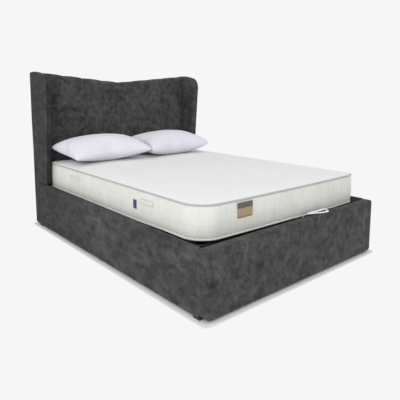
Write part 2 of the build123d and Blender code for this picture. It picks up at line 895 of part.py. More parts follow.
save_pair("floor_ledge", ledge())
save("floor_boards", *floor_boards())
save("floor_beam", box(-beam_width / 2, beam_width / 2, foot_inner, slab_front, ground_gap, floor_low))
glide_x = half_width - glide_inset - glide_size / 2
foot_glide_y = foot_inner - foot_pad + glide_size / 2
save("glides", glide(-glide_x, foot_glide_y), glide(glide_x, foot_glide_y),
     glide(-glide_x, slab_front), glide(glide_x, slab_front),
     glide(0, foot_inner / 2), glide(0, slab_front / 2))

save_both("foot_corner_brackets", corner_bracket(foot_inner, -1, foot_bolts))
save_both("headboard_brackets", corner_bracket(slab_front, 1, head_bolts))
save_both("frame_bolts", *foot_bolts, *head_bolts)
save_both("wing_bolts", *wing_bolts)

save_pair("lower_plate", lower_plate_shape())
save_both("plate_screws", *plate_screws)
lower_stud = strut_stud(-rail_inner, -plate_inner, strut_foot)
save_both("lower_pins", lower_pin(rear_pivot), lower_pin(front_pivot), lower_stud)
save_pair("rear_arm", rear_arm())
save_pair("front_arm", front_arm())
save_both("front_arm_pins", front_arm_pin(), strut_stud(-arm_outer, -arm_inner, strut_head))
save_both("strut_cylinders", strut_cylinder())
save_both("strut_rods", strut_rod())
save_pair("upper_bracket", upper_bracket_shape())
save_both("rear_arm_pins", rear_arm_pin())
save_both("bracket_screws", *bracket_screws)

clamp, clamp_screws = strap_clamp()
save_pair("platform_tube", drilled(side_tube(), *bracket_screws))
save("head_platform_tube", head_tube())
save("foot_platform_tube", drilled(foot_tube(), *clamp_screws))
save("centre_platform_tube", centre_tube())
left_slats = [slat(y) for y in slat_places()]
right_slats = [other_side(piece) for piece in left_slats]
save("left_slats", *left_slats)
save("right_slats", *right_slats)
caps = []
for y, left, right in zip(slat_places(), left_slats, right_slats):
    caps.extend(slat_caps(y, [left, right]))
save("slat_caps", *caps)
save("pull_strap", pull_strap())
save("strap_clamp", clamp, *clamp_screws)

save("mattress", mattress())
piping_levels = (mattress_low + neck_height / 2, border_top - neck_height / 2)
save("mattress_piping", *[piping_ring(level) for level in piping_levels])
save_both("mattress_handles", *[handle(y) for y in handle_places])
save("mattress_label", label())
save("mattress_tag", side_tag())
save("left_pillow", pillow(pillow_left_middle))
save("right_pillow", pillow(pillow_right_middle))
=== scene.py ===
# %% [markdown]
# # An ottoman bed, piece by piece
# The bed is a padded box with a lifting platform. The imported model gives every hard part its
# real shape and place, and is loaded first. The soft parts are then made again one at a time:
# padding, mattress, pillows and strap, each in the space that its plain solid holds.

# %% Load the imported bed
import math
import bpy
import bmesh
import numpy as np
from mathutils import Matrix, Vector


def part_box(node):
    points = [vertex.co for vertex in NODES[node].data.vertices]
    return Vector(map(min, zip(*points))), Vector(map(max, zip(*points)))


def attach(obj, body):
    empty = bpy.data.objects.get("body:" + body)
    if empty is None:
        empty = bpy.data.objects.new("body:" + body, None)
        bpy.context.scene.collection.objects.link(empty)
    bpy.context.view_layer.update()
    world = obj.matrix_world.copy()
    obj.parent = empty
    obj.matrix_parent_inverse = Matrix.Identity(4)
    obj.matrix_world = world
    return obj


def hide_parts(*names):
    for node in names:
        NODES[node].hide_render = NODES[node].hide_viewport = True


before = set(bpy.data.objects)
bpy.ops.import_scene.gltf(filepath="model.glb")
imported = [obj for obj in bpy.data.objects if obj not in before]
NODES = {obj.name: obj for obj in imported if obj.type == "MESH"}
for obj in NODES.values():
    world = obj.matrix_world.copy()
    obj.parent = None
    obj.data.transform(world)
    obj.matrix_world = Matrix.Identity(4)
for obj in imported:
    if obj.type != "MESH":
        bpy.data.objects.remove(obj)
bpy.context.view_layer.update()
MM = 0.001

# %% [markdown]
# ## Camera
# The photograph was taken from the left of the foot end at about headboard height, with the
# lens looking almost level. The picture was then cropped lower, which is what a small downward
# shift of the lens does. A tilted camera would make the upright edges lean.

# %% Camera
CAMERA_PLACE = Vector((-2.1751, -2.7072, 1.1632))
CAMERA_AIM = Vector((2.1347, 2.3282, 0.3))
CAMERA_LENS_MM = 39.2
CAMERA_SENSOR_MM = 36
CAMERA_SHIFT = -0.125


def add_object(name, data):
    """A new object for this mesh, curve, lamp or camera, linked to the scene."""
    made = bpy.data.objects.new(name, data)
    bpy.context.scene.collection.objects.link(made)
    return made


camera = add_object("camera", bpy.data.cameras.new("camera"))
camera.location = CAMERA_PLACE
camera.rotation_euler = (CAMERA_AIM - CAMERA_PLACE).to_track_quat("-Z", "Y").to_euler()
camera.data.lens = CAMERA_LENS_MM
camera.data.sensor_width = CAMERA_SENSOR_MM
camera.data.shift_y = CAMERA_SHIFT
camera.data.clip_end = 100
bpy.context.scene.camera = camera
bpy.context.scene.view_settings.view_transform = "Standard"
print("camera", [round(v, 2) for v in camera.location])

# %% [markdown]
# ## Finishes
# A finish is a small network of shader nodes. Sums on its values are easier to read as plain
# arithmetic, so the Number class below adds a Math node for each operator. Colours never go
# through Math nodes, which would turn them grey: they are blended with Mix.

# %% Arithmetic on shader values


class Number:
    """A value that runs along a link; arithmetic on it adds Math nodes."""

    def __init__(self, finish, socket):
        self.finish = finish
        self.socket = socket

    def math(self, operation, first, second=None, clamp=False):
        settings = {"operation": operation, "use_clamp": clamp}
        values = {0: first} if second is None else {0: first, 1: second}
        return Number(self.finish, self.finish.node("ShaderNodeMath", settings, values).outputs[0])

    def __add__(self, other):
        return self.math("ADD", self, other)

    __radd__ = __add__

    def __mul__(self, other):
        return self.math("MULTIPLY", self, other)

    __rmul__ = __mul__

    def __sub__(self, other):
        return self.math("SUBTRACT", self, other)

    def __rsub__(self, other):
        return self.math("SUBTRACT", other, self)

    def __truediv__(self, other):
        return self.math("DIVIDE", self, other)

    def __pow__(self, other):
        return self.math("POWER", self, other)

    def clipped(self):
        return self.math("ADD", self, 0.0, clamp=True)

    def size(self):
        return self.math("ABSOLUTE", self)


# %% [markdown]
# The Finish class holds one material. Its node method makes any node from its type, its
# settings and the values of its sockets, and the shorter ones add the textures, ramps and
# blends that the finishes of this bed use again and again.

# %% A finish and its nodes


class Finish:
    """One material, with a Principled shader and short ways to feed it."""

    def __init__(self, name, **sockets):
        self.material = bpy.data.materials.new(name)
        self.material.use_nodes = True
        self.tree = self.material.node_tree
        self.shader = self.tree.nodes["Principled BSDF"]
        for socket, value in sockets.items():
            self.shader.inputs[socket.replace("_", " ")].default_value = value

    def node(self, kind, settings=None, values=None):
        made = self.tree.nodes.new(kind)
        for key, value in (settings or {}).items():
            if key == "stops":
                self.ramp_stops(made, value)
            else:
                setattr(made, key, value)
        for key, value in (values or {}).items():
            self.feed(made.inputs[key], value)
        return made

    def ramp_stops(self, made, stops):
        ramp = made.color_ramp
        while len(ramp.elements) < len(stops):
            ramp.elements.new(1.0)
        for element, (place, colour) in zip(ramp.elements, stops):
            element.position = place
            element.color = (*colour, 1.0)

    def feed(self, socket, value):
        if isinstance(value, Number):
            self.tree.links.new(value.socket, socket)
        elif isinstance(value, bpy.types.NodeSocket):
            self.tree.links.new(value, socket)
        else:
            socket.default_value = value

    def place(self, stretch=(1.0, 1.0, 1.0)):
        where = self.node("ShaderNodeTexCoord").outputs["Object"]
        return self.node("ShaderNodeMapping", None, {"Vector": where, "Scale": stretch}).outputs[0]

    def axis(self, name):
        where = self.node("ShaderNodeTexCoord").outputs["Object"]
        return Number(self, self.node("ShaderNodeSeparateXYZ", None, {0: where}).outputs[name])

    def noise(self, scale, detail=3.0, stretch=(1.0, 1.0, 1.0), rough=0.55, twist=0.0):
        values = {"Vector": self.place(stretch), "Scale": scale, "Detail": detail,
                  "Roughness": rough, "Distortion": twist}
        return Number(self, self.node("ShaderNodeTexNoise", None, values).outputs[0])

    def cells(self, scale, stretch):
        values = {"Vector": self.place(stretch), "Scale": scale}
        return self.node("ShaderNodeTexVoronoi", None, values)

    def bands(self, scale):
        settings = {"wave_type": "BANDS", "bands_direction": "X"}
        values = {"Vector": self.place(), "Scale": scale}
        return Number(self, self.node("ShaderNodeTexWave", settings, values).outputs["Fac"])

    def ramp(self, factor, *stops):
        return self.node("ShaderNodeValToRGB", {"stops": stops}, {0: factor}).outputs[0]

    def blend(self, factor, first, second):
        made = self.node("ShaderNodeMix", {"data_type": "RGBA"})
        self.feed(made.inputs[0], factor)
        for index, colour in ((6, first), (7, second)):
            self.feed(made.inputs[index], (*colour, 1.0) if isinstance(colour, tuple) else colour)
        return made.outputs[2]

    def colour(self, socket):
        self.feed(self.shader.inputs["Base Color"], socket)

    def rough(self, value):
        self.feed(self.shader.inputs["Roughness"], value)

    def bump(self, height, depth, strength):
        values = {"Height": height, "Distance": depth, "Strength": strength}
        raised = self.node("ShaderNodeBump", None, values).outputs[0]
        self.feed(self.shader.inputs["Normal"], raised)


# %% [markdown]
# ## Velvet
# The upholstery is a crushed velvet: its short pile lies in different directions, so the one
# dark grey breaks into soft twisted patches a few centimetres wide. Four sizes of noise give
# that, from broad clouds down to flecks of pile, all in the bed's own coordinates, so the cloth
# runs on from piece to piece. One plain grey would look like painted board. A mask on X and Y
# also paints shade on the left flank, darker toward the head.

# %% Upholstery velvet
VELVET_TONES, VELVET_COOL = (0.021, 0.045, 0.066, 0.105), 1.015
# Where the painted shade on the left flank begins and how fast it comes in, across and along.
SHADE_FLANK_FROM, SHADE_FLANK_FADE = 0.751, 0.006
SHADE_HEADWARD_FROM, SHADE_HEADWARD_FADE = -0.1, 0.87


def make_velvet(name, flank_shade_strength, lift=1.0):
    """Crushed velvet; the second value paints shade on the left flank toward the head, and lift
    lightens it all.
    """
    finish = Finish(name, Sheen_Weight=0.1, Sheen_Roughness=0.5,
                    Sheen_Tint=(0.5, 0.5, 0.51, 1.0), Specular_IOR_Level=0.15)
    clouds = finish.noise(7.0, 4.0, (1.0, 0.6, 0.95), 0.6, 0.6)
    patches = finish.noise(20.0, 5.0, (1.0, 0.55, 1.0), 0.6, 0.4)
    crush = finish.noise(50.0, 4.0, (1.0, 0.55, 0.95), 0.62, 0.1)
    flecks = finish.noise(420.0, 2.0, (1.0, 1.0, 0.5))
    pile = clouds * 0.30 + patches * 0.44 + crush * 0.18 + flecks * 0.08
    dark, middle, light, bright = [(tone * lift, tone * lift, tone * lift * VELVET_COOL)
                                   for tone in VELVET_TONES]
    # Painted shade: on the left flank the colour is blended toward black, most toward the head.
    flank_shade = ((-SHADE_FLANK_FROM - finish.axis("X")) / SHADE_FLANK_FADE).clipped()
    headward = ((finish.axis("Y") - SHADE_HEADWARD_FROM) / SHADE_HEADWARD_FADE).clipped()
    looks = finish.ramp(pile, (0.38, dark), (0.47, middle), (0.54, light), (0.66, bright))
    finish.colour(finish.blend(flank_shade * headward * flank_shade_strength, looks, (0.0, 0.0, 0.0)))
    finish.rough(1.0 - pile * 0.25)
    finish.bump(crush * 0.4 + flecks * 0.6, 0.7 * MM, 0.4)
    return finish.material


# 0.45 is how strong the painted shade on the left flank is.
VELVET = make_velvet("crushed_velvet", 0.45)
# A lighter copy of the velvet: a painted highlight on the wing piping.
PIPING_HIGHLIGHT_VELVET = make_velvet("piping_painted_highlight", 0.0, 1.3)
print("made", VELVET.name)

# %% [markdown]
# ## Mattress and pillow cloths
# The mattress has a knitted top, a cream border and pale woven tape at its edges. Knit and
# cotton are nearly white, so their look comes from fine relief rather than from colour.

# %% Mattress and pillow cloths


def make_cloth(name, colour, weave, relief, tone):
    """A plain cloth: fine crossed threads, and a slow change of tone."""
    finish = Finish(name, Sheen_Weight=0.1, Specular_IOR_Level=0.25)
    warp = finish.noise(weave, 1.0, (1.0, 0.25, 0.25))
    weft = finish.noise(weave, 1.0, (0.25, 1.0, 1.0))
    drift = finish.noise(5.0, 3.0)
    darker = tuple(value * (1.0 - tone) for value in colour)
    finish.colour(finish.blend((drift * 0.6 + warp * 0.2 + weft * 0.2).clipped(), darker, colour))
    finish.rough(0.85 - drift * 0.08)
    finish.bump(warp + weft, relief, 0.6)
    return finish.material


def make_knit():
    """The mattress top: a small knitted diamond figure."""
    finish = Finish("knitted_top", Sheen_Weight=0.15, Specular_IOR_Level=0.25)
    turned = (finish.axis("X") + finish.axis("Y")) * 150.0
    other = (finish.axis("X") - finish.axis("Y")) * 150.0
    figure = turned.math("SINE", turned) * other.math("SINE", other)
    loops = finish.noise(900.0, 1.0)
    mask = (figure * 0.5 + 0.5).clipped()
    finish.colour(finish.blend(mask, (0.755, 0.758, 0.755), (0.8, 0.802, 0.8)))
    finish.rough(0.9 - mask * 0.12)
    finish.bump(mask * 0.6 + loops * 0.4, 0.5 * MM, 0.5)
    return finish.material


def make_border():
    """The mattress border: cream damask with fine upright lines."""
    finish = Finish("cream_border", Sheen_Weight=0.12, Specular_IOR_Level=0.25)
    lines = finish.noise(120.0, 2.0, (1.0, 1.0, 0.06), 0.6)
    cloud = finish.noise(14.0, 4.0, (1.0, 1.0, 0.5))
    threads = finish.noise(800.0, 1.0, (1.0, 1.0, 0.3))
    tone = ((lines * 0.45 + cloud * 0.55 - 0.5) * 2.4 + 0.5).clipped()
    finish.colour(finish.blend(tone, (0.62, 0.635, 0.585), (0.765, 0.775, 0.73)))
    finish.rough(0.9 - lines * 0.1)
    finish.bump(lines * 0.7 + threads * 0.3, 0.8 * MM, 0.6)
    return finish.material


KNIT = make_knit()
BORDER = make_border()
COTTON = make_cloth("white_cotton", (0.735, 0.735, 0.80), 1400.0, 0.25 * MM, 0.03)
EDGE_TAPE = make_cloth("edge_tape", (0.47, 0.475, 0.475), 1100.0, 0.5 * MM, 0.12)
LOWER_TAPE = make_cloth("lower_tape", (0.72, 0.725, 0.70), 1100.0, 0.5 * MM, 0.05)
THREAD = make_cloth("white_thread", (0.70, 0.70, 0.69), 2600.0, 0.2 * MM, 0.1)
DARK_THREAD = make_cloth("grey_thread", (0.055, 0.055, 0.057), 2600.0, 0.2 * MM, 0.2)
DUST_CLOTH = make_cloth("dust_cloth", (0.022, 0.022, 0.024), 700.0, 0.4 * MM, 0.3)
HANDLE_CLOTH = make_cloth("handle_cloth", (0.72, 0.72, 0.65), 1000.0, 0.4 * MM, 0.1)
TAG_CLOTH = make_cloth("purple_tag", (0.075, 0.055, 0.18), 1500.0, 0.3 * MM, 0.25)
print("made", COTTON.name, "and the other cloths")

# %% [markdown]
# The pull strap is woven webbing: narrow ribs run across it. The patch at the foot of the
# mattress is woven in two plain colours, with nothing written on it.

# %% Webbing and patch


def make_webbing():
    """Pale webbing with ribs across it."""
    finish = Finish("pale_webbing", Sheen_Weight=0.2, Specular_IOR_Level=0.2)
    ribs = finish.bands(260.0)
    fuzz = finish.noise(900.0, 2.0)
    tone = (ribs * 0.6 + fuzz * 0.4).clipped()
    finish.colour(finish.blend(tone, (0.80, 0.80, 0.79), (0.90, 0.90, 0.89)))
    finish.rough(0.9 - ribs * 0.1)
    finish.bump(ribs, 0.5 * MM, 0.7)
    return finish.material


PATCH_SPLIT, PATCH_STEP = 0.521, 900.0


def make_patch():
    """Two plain woven colours, with a sharp step between them."""
    finish = Finish("woven_patch", Sheen_Weight=0.1, Specular_IOR_Level=0.3)
    upper = ((finish.axis("Z") - PATCH_SPLIT) * PATCH_STEP).clipped()
    threads = finish.noise(1300.0, 1.0, (0.3, 1.0, 1.0))
    tan = finish.blend(threads, (0.31, 0.215, 0.115), (0.45, 0.33, 0.2))
    grey = finish.blend(threads, (0.08, 0.073, 0.07), (0.15, 0.138, 0.132))
    finish.colour(finish.blend(upper, tan, grey))
    finish.rough(0.85 - threads * 0.1)
    finish.bump(threads, 0.3 * MM, 0.7)
    return finish.material


WEBBING = make_webbing()
PATCH = make_patch()
print("made", WEBBING.name, "and", PATCH.name)

# %% [markdown]
# ## Steel, wood and plastic
# The lifting arms and the platform are powder-coated, which leaves a fine orange-peel skin.
# Pins and bolts are zinc plated. The sprung slats are bent beech ply with long fine grain,
# the hidden boards are chipboard, and the rails that carry the floor are raw softwood.

# %% Steel, wood and plastic


def make_powder_coat():
    finish = Finish("black_powder_coat", Specular_IOR_Level=0.5)
    peel = finish.noise(650.0, 2.0)
    dust = finish.noise(12.0, 5.0)
    finish.colour(finish.ramp(dust, (0.3, (0.012, 0.012, 0.013)), (0.75, (0.03, 0.03, 0.031))))
    finish.rough(0.36 + dust * 0.2)
    finish.bump(peel, 0.15 * MM, 0.5)
    return finish.material


def make_plated(name, low, high, roughness):
    finish = Finish(name, Metallic=1.0)
    grain = finish.noise(300.0, 3.0, (1.0, 0.2, 1.0))
    cloud = finish.noise(25.0, 3.0)
    tone = grain * 0.4 + cloud * 0.6
    finish.colour(finish.ramp(tone, (0.3, (low, low, low * 0.98)), (0.7, (high,) * 3)))
    finish.rough(roughness + grain * 0.12)
    finish.bump(grain, 0.05 * MM, 0.4)
    return finish.material


def make_wood(name, light, dark, stretch, scale=26.0):
    finish = Finish(name, Specular_IOR_Level=0.35)
    figure = finish.noise(scale, 5.0, stretch, 0.6)
    pores = finish.noise(scale * 22.0, 2.0, stretch)
    rings = (figure * 14.0).math("SINE", figure * 14.0) * 0.25 + 0.5
    tone = (rings * 0.5 + figure * 0.3 + pores * 0.2).clipped()
    finish.colour(finish.blend(tone, dark, light))
    finish.rough(0.62 - tone * 0.12)
    finish.bump(pores * 0.6 + rings * 0.4, 0.2 * MM, 0.5)
    return finish.material


def make_chipboard():
    finish = Finish("chipboard", Specular_IOR_Level=0.3)
    chips = finish.cells(130.0, (1.0, 0.6, 1.0))
    shade = finish.node("ShaderNodeSeparateXYZ", None, {0: chips.outputs["Color"]}).outputs[0]
    fines = finish.noise(400.0, 3.0)
    tone = (Number(finish, shade) * 0.7 + fines * 0.3).clipped()
    finish.colour(finish.blend(tone, (0.24, 0.16, 0.09), (0.50, 0.38, 0.24)))
    finish.rough(0.8 - tone * 0.1)
    finish.bump(tone, 0.3 * MM, 0.4)
    return finish.material


def make_plastic():
    finish = Finish("black_plastic", Specular_IOR_Level=0.45)
    grain = finish.noise(1100.0, 2.0)
    finish.colour(finish.ramp(grain, (0.3, (0.012,) * 3), (0.7, (0.024,) * 3)))
    finish.rough(0.45 + grain * 0.15)
    finish.bump(grain, 0.1 * MM, 0.6)
    return finish.material


POWDER_COAT = make_powder_coat()
ZINC = make_plated("zinc_plate", 0.42, 0.62, 0.3)
POLISHED_ROD = make_plated("polished_rod", 0.55, 0.68, 0.08)
BEECH = make_wood("beech_ply", (0.66, 0.47, 0.27), (0.48, 0.31, 0.16), (0.09, 1.0, 1.0))
SOFTWOOD = make_wood("softwood", (0.66, 0.50, 0.31), (0.50, 0.34, 0.18), (1.0, 0.07, 1.0),
                     18.0)
CHIPBOARD = make_chipboard()
PLASTIC = make_plastic()

CAD_FINISHES = {
    POWDER_COAT: ["left_lower_plate", "right_lower_plate", "left_rear_arm", "right_rear_arm",
                  "left_front_arm", "right_front_arm", "strut_cylinders", "left_upper_bracket",
                  "right_upper_bracket", "left_platform_tube", "right_platform_tube",
                  "head_platform_tube", "foot_platform_tube", "centre_platform_tube",
                  "strap_clamp"],
    ZINC: ["foot_corner_brackets", "headboard_brackets", "wing_bolts", "lower_pins",
           "front_arm_pins", "rear_arm_pins", "plate_screws", "bracket_screws", "frame_bolts"],
    POLISHED_ROD: ["strut_rods"],
    SOFTWOOD: ["headboard_posts", "headboard_crossrails", "left_floor_ledge",
               "right_floor_ledge", "floor_beam"],
    CHIPBOARD: ["left_side_rail_board", "right_side_rail_board", "foot_panel_core",
                "left_wing_board", "right_wing_board", "headboard_board", "floor_boards"],
    BEECH: ["left_slats", "right_slats"],
    PLASTIC: ["glides", "slat_caps"],
}
for material, names in CAD_FINISHES.items():
    for name in names:
        NODES[name].data.materials.clear()
        NODES[name].data.materials.append(material)
print("finished", sum(len(names) for names in CAD_FINISHES.values()), "hard parts")

# %% [markdown]
# ## Building shells from rings
# Most padded pieces here are long things with one cross-section: a rail, a foot panel, the
# mattress. Each is made as a stack of closed rings with the same number of points, joined ring
# to ring and closed at both ends. Every point is then free to move, which is what makes the
# padding look soft. A solid block with rounded edges could not crease or swell.

# %% Shell and loop helpers


def smooth_faces(mesh):
    mesh.polygons.foreach_set("use_smooth", [True] * len(mesh.polygons))


def new_object(name, points, faces, material):
    """A smooth-shaded object from points and faces, with one finish."""
    mesh = bpy.data.meshes.new(name)
    mesh.from_pydata([tuple(map(float, p)) for p in points], [], faces)
    mesh.validate()
    mesh.update()
    smooth_faces(mesh)
    mesh.materials.append(material)
    return add_object(name, mesh)


def outward(made):
    """Turns every face of a closed mesh outwards."""
    work = bmesh.new()
    work.from_mesh(made.data)
    bmesh.ops.recalc_face_normals(work, faces=work.faces)
    work.to_mesh(made.data)
    work.free()
    return made


def shell(name, rings, material):
    """Closed rings of equally many points joined one to the next, with both ends filled."""
    rings = np.asarray(rings)
    count, around = rings.shape[:2]
    faces = []
    for i in range(count - 1):
        for j in range(around):
            k = (j + 1) % around
            below, above = i * around, (i + 1) * around
            faces.append((below + j, below + k, above + k, above + j))
    faces.append(tuple(range(around)))
    faces.append(tuple((count - 1) * around + j for j in reversed(range(around))))
    return outward(new_object(name, rings.reshape(-1, 3), faces, material))


def run(start, end, step):
    """Even stops from start to end, without the last one."""
    count = max(1, round(abs(end - start) / step))
    return np.linspace(start, end, count, endpoint=False)


def quarter(centre, radius, first, last, count):
    """Points on an arc, angles in degrees, without the last one."""
    angles = np.radians(np.linspace(first, last, count, endpoint=False))
    return [(centre[0] + radius * math.cos(a), centre[1] + radius * math.sin(a)) for a in angles]


def ripple(x, y, z, scale, seed=0.0):
    """A slow wave in three directions, the same every run, for padding that isn't flat."""
    a = np.sin(x * scale * 1.7 + y * scale * 0.9 + seed)
    b = np.sin(y * scale * 1.3 - z * scale * 1.1 + seed * 2.1)
    c = np.sin(z * scale * 1.9 + x * scale * 0.6 + seed * 0.7)
    return (a + b + c) / 3


def hand(side):
    """The word for a side as seen from the foot end: -1 is left and 1 is right."""
    return "left" if side < 0 else "right"


# %% [markdown]
# ## Side rails
# Each side rail is a board wrapped in a thin pad and velvet. The cover is one long shell with a
# rounded top. It is stapled underneath, so its lower edge turns in sharply, and at both ends it
# is tucked in a little. A slow ripple keeps the long face from looking like a plank.

# %% Side rail covers
RAIL_TOP, RAIL_BOTTOM = 0.388, 0.0143
RAIL_OUTER, RAIL_INNER = 0.810, 0.785
RAIL_ROUND, RAIL_LOW_ROUND = 0.008, 0.004
RAIL_SWELL, RAIL_CROWN, RAIL_TOP_WAVE = 0.0012, 0.0025, 0.001
FACE_STEP, TOP_STEP, TOP_BAND = 0.012, 0.003, 0.02
FOOT_SEAM, HEAD_SEAM = -1.092, 1.060
TUCK, TUCK_DEPTH = 0.010, 0.002
TUCK_STOPS = (-0.0003, 0.001, 0.002, 0.004, 0.0065, 0.009)


def rail_profile():
    """Points (distance from the middle, height) once round one rail."""
    high, low = RAIL_TOP - RAIL_ROUND, RAIL_BOTTOM + RAIL_LOW_ROUND
    outer, inner = RAIL_OUTER - RAIL_ROUND, RAIL_INNER + RAIL_ROUND
    points = [(RAIL_OUTER, z) for z in run(low, high, FACE_STEP)]
    points += quarter((outer, high), RAIL_ROUND, 0, 90, 6)
    points += [(x, RAIL_TOP) for x in run(outer, inner, TOP_STEP)]
    points += quarter((inner, high), RAIL_ROUND, 90, 180, 6)
    points += [(RAIL_INNER, z) for z in run(high, low, FACE_STEP)]
    points += quarter((RAIL_INNER + RAIL_LOW_ROUND, low), RAIL_LOW_ROUND, 180, 270, 3)
    points += quarter((RAIL_OUTER - RAIL_LOW_ROUND, low), RAIL_LOW_ROUND, 270, 360, 3)
    return np.array(points)


def side_rail(side):
    """One rail's cover: its cross-section at every station from the foot to the head."""
    profile = rail_profile()
    seam = np.array(TUCK_STOPS)
    stations = np.concatenate([FOOT_SEAM + seam,
                               np.linspace(FOOT_SEAM + TUCK, HEAD_SEAM - TUCK, 160),
                               HEAD_SEAM - seam[::-1]])
    rings = []
    for y in stations:
        x, z = profile[:, 0].copy(), profile[:, 1].copy()
        end = min(1.0, max(0.0, (y - FOOT_SEAM) / TUCK), max(0.0, (HEAD_SEAM - y) / TUCK))
        tuck = TUCK_DEPTH * (1 - math.sqrt(max(0.0, 1 - (1 - end) ** 2)))
        outer = x > (RAIL_OUTER + RAIL_INNER) / 2
        x = np.where(outer, x + (RAIL_SWELL * ripple(x, y, z, 9.0, side) - tuck), x)
        across = np.clip((RAIL_OUTER - x) / (RAIL_OUTER - RAIL_INNER), 0, 1)
        crown = RAIL_CROWN * np.sin(across * math.pi)
        wave = RAIL_TOP_WAVE * ripple(x, y, z, 14.0, side)
        z = np.where(z > RAIL_TOP - TOP_BAND, z + crown + wave - tuck, z)
        rings.append(np.stack([side * x, np.full_like(x, y), z], axis=1))
    return shell(hand(side) + "_rail_velvet", rings, VELVET)


left_rail, right_rail = side_rail(-1), side_rail(1)
print("rail faces", len(left_rail.data.polygons))

# %% [markdown]
# ## Foot panel
# The foot panel is padded more thickly and its corners are round, the right one more tightly
# than the left. It is made in rings along X, like the rails. Near each end the front of the
# ring moves back along a quarter circle, and its top and bottom close in, which rounds the
# upper and the lower corners too.

# %% Foot panel cover
FOOT_OUTER = -1.160
FOOT_CORNER, FOOT_RIGHT_CORNER, FOOT_CORNER_SPARE = 0.035, 0.014, 0.0005
FOOT_ROUND, FOOT_LOW_ROUND, FOOT_LOW_CORNER = 0.013, 0.006, 0.032
FOOT_SWELL, FOOT_TOP_WAVE = 0.0016, 0.0012


def foot_profile(front):
    """(y, z) points round the foot panel where its front face is at front."""
    high, low, back = RAIL_TOP - FOOT_ROUND, RAIL_BOTTOM + FOOT_LOW_ROUND, FOOT_SEAM
    flat = np.linspace(front + FOOT_ROUND, back - FOOT_ROUND, 8, endpoint=False)
    points = [(front, z) for z in np.linspace(low, high, 30, endpoint=False)]
    points += quarter((front + FOOT_ROUND, high), FOOT_ROUND, 180, 90, 8)
    points += [(y, RAIL_TOP) for y in flat]
    points += quarter((back - FOOT_ROUND, high), FOOT_ROUND, 90, 0, 8)
    points += [(back, z) for z in run(high, low, FACE_STEP)]
    points += quarter((back - FOOT_LOW_ROUND, low), FOOT_LOW_ROUND, 0, -90, 4)
    points += quarter((front + FOOT_LOW_ROUND, low), FOOT_LOW_ROUND, -90, -180, 4)
    return np.array(points)


def corner_fall(reach, half, radius):
    """How far a corner of this radius has fallen where it is reach from the middle."""
    past = max(0.0, reach - (half - radius))
    return radius - math.sqrt(max(0.0, radius ** 2 - past ** 2))


def foot_panel():
    half = RAIL_OUTER
    bend = np.sin(np.radians(np.linspace(0, 90, 14)))
    left, right = FOOT_CORNER - half, half - FOOT_RIGHT_CORNER
    low, high = RAIL_BOTTOM, RAIL_TOP
    stations = np.concatenate([left - FOOT_CORNER * bend[::-1],
                               np.linspace(left, right, 150)[1:-1],
                               right + FOOT_RIGHT_CORNER * bend])
    rings = []
    for x in stations:
        radius = FOOT_CORNER if x < 0 else FOOT_RIGHT_CORNER
        back = min(corner_fall(abs(x), half, radius), radius - FOOT_CORNER_SPARE)
        points = foot_profile(FOOT_OUTER + back)
        y, z = points[:, 0].copy(), points[:, 1].copy()
        front = y < (FOOT_OUTER + FOOT_SEAM) / 2
        fade = min(1.0, (half - abs(x)) / radius)
        y = np.where(front, y + fade * FOOT_SWELL * ripple(x, y, z, 8.0, 3.0), y)
        wave = fade * FOOT_TOP_WAVE * ripple(x, y, z, 15.0, 1.0)
        z = np.where(z > high - TOP_BAND, z + wave, z)
        droop = corner_fall(abs(x), half, FOOT_ROUND)
        lift = corner_fall(abs(x), half, FOOT_LOW_CORNER)
        z = low + lift + (z - low) * (high - droop - low - lift) / (high - low)
        rings.append(np.stack([np.full_like(y, x), y, z], axis=1))
    return shell("foot_panel_velvet", rings, VELVET)


foot_cover = foot_panel()
print("foot panel faces", len(foot_cover.data.polygons))

# %% [markdown]
# ## Headboard padding
# The headboard is sewn into eight upright channels. Foam swells between the seams, so each
# channel is a shallow arc that drops into a narrow groove, and the top edge is pulled down a
# little where a seam goes over it. The whole top falls towards the middle.

# %% Headboard padding
PAD_HALF = 0.7545
PAD_FRONT, PAD_LOW = 1.000, 0.3925
BOARD_FRONT, BACK_CLOTH = 1.078, 1.157
PAD_TOP_SIDE, PAD_TOP_MIDDLE = 1.334, 1.262
PAD_EDGE, PAD_FACE, PAD_SAG = 0.01, 0.045, 0.0015
CHANNELS, CHANNEL_DEPTH, CHANNEL_CROWN = 8, 0.009, 0.004
GROOVE_DEPTH, GROOVE_SHARE = 0.0025, 0.055
SEAM_DIP, SEAM_SHARE = 0.0045, 0.07
CREASE_DEPTH, CREASE_SHARE = 0.0016, 0.25
TOP_ROUND, BACK_ROUND = 0.026, 0.008
WRAP = 0.0195


def channel_share(x):
    """From 0 on a seam to 1 in the middle of a channel, and which channel it is."""
    place = (x + PAD_HALF) / (2 * PAD_HALF) * CHANNELS
    across = place % 1.0
    return 1 - abs(2 * across - 1), int(min(CHANNELS - 1, place))


def near_seam(share, reach):
    """From 1 on a seam to nearly nothing where the share is more than twice the reach."""
    return math.exp(-((share / reach) ** 2))


def board_top(x):
    """The height of the headboard's top line, which falls towards the middle."""
    return PAD_TOP_MIDDLE + (PAD_TOP_SIDE - PAD_TOP_MIDDLE) * abs(x) / PAD_HALF


def pad_top(x):
    share, _ = channel_share(x)
    crown = CHANNEL_CROWN * math.sin(share * math.pi / 2)
    return board_top(x) + crown - SEAM_DIP * near_seam(share, SEAM_SHARE)


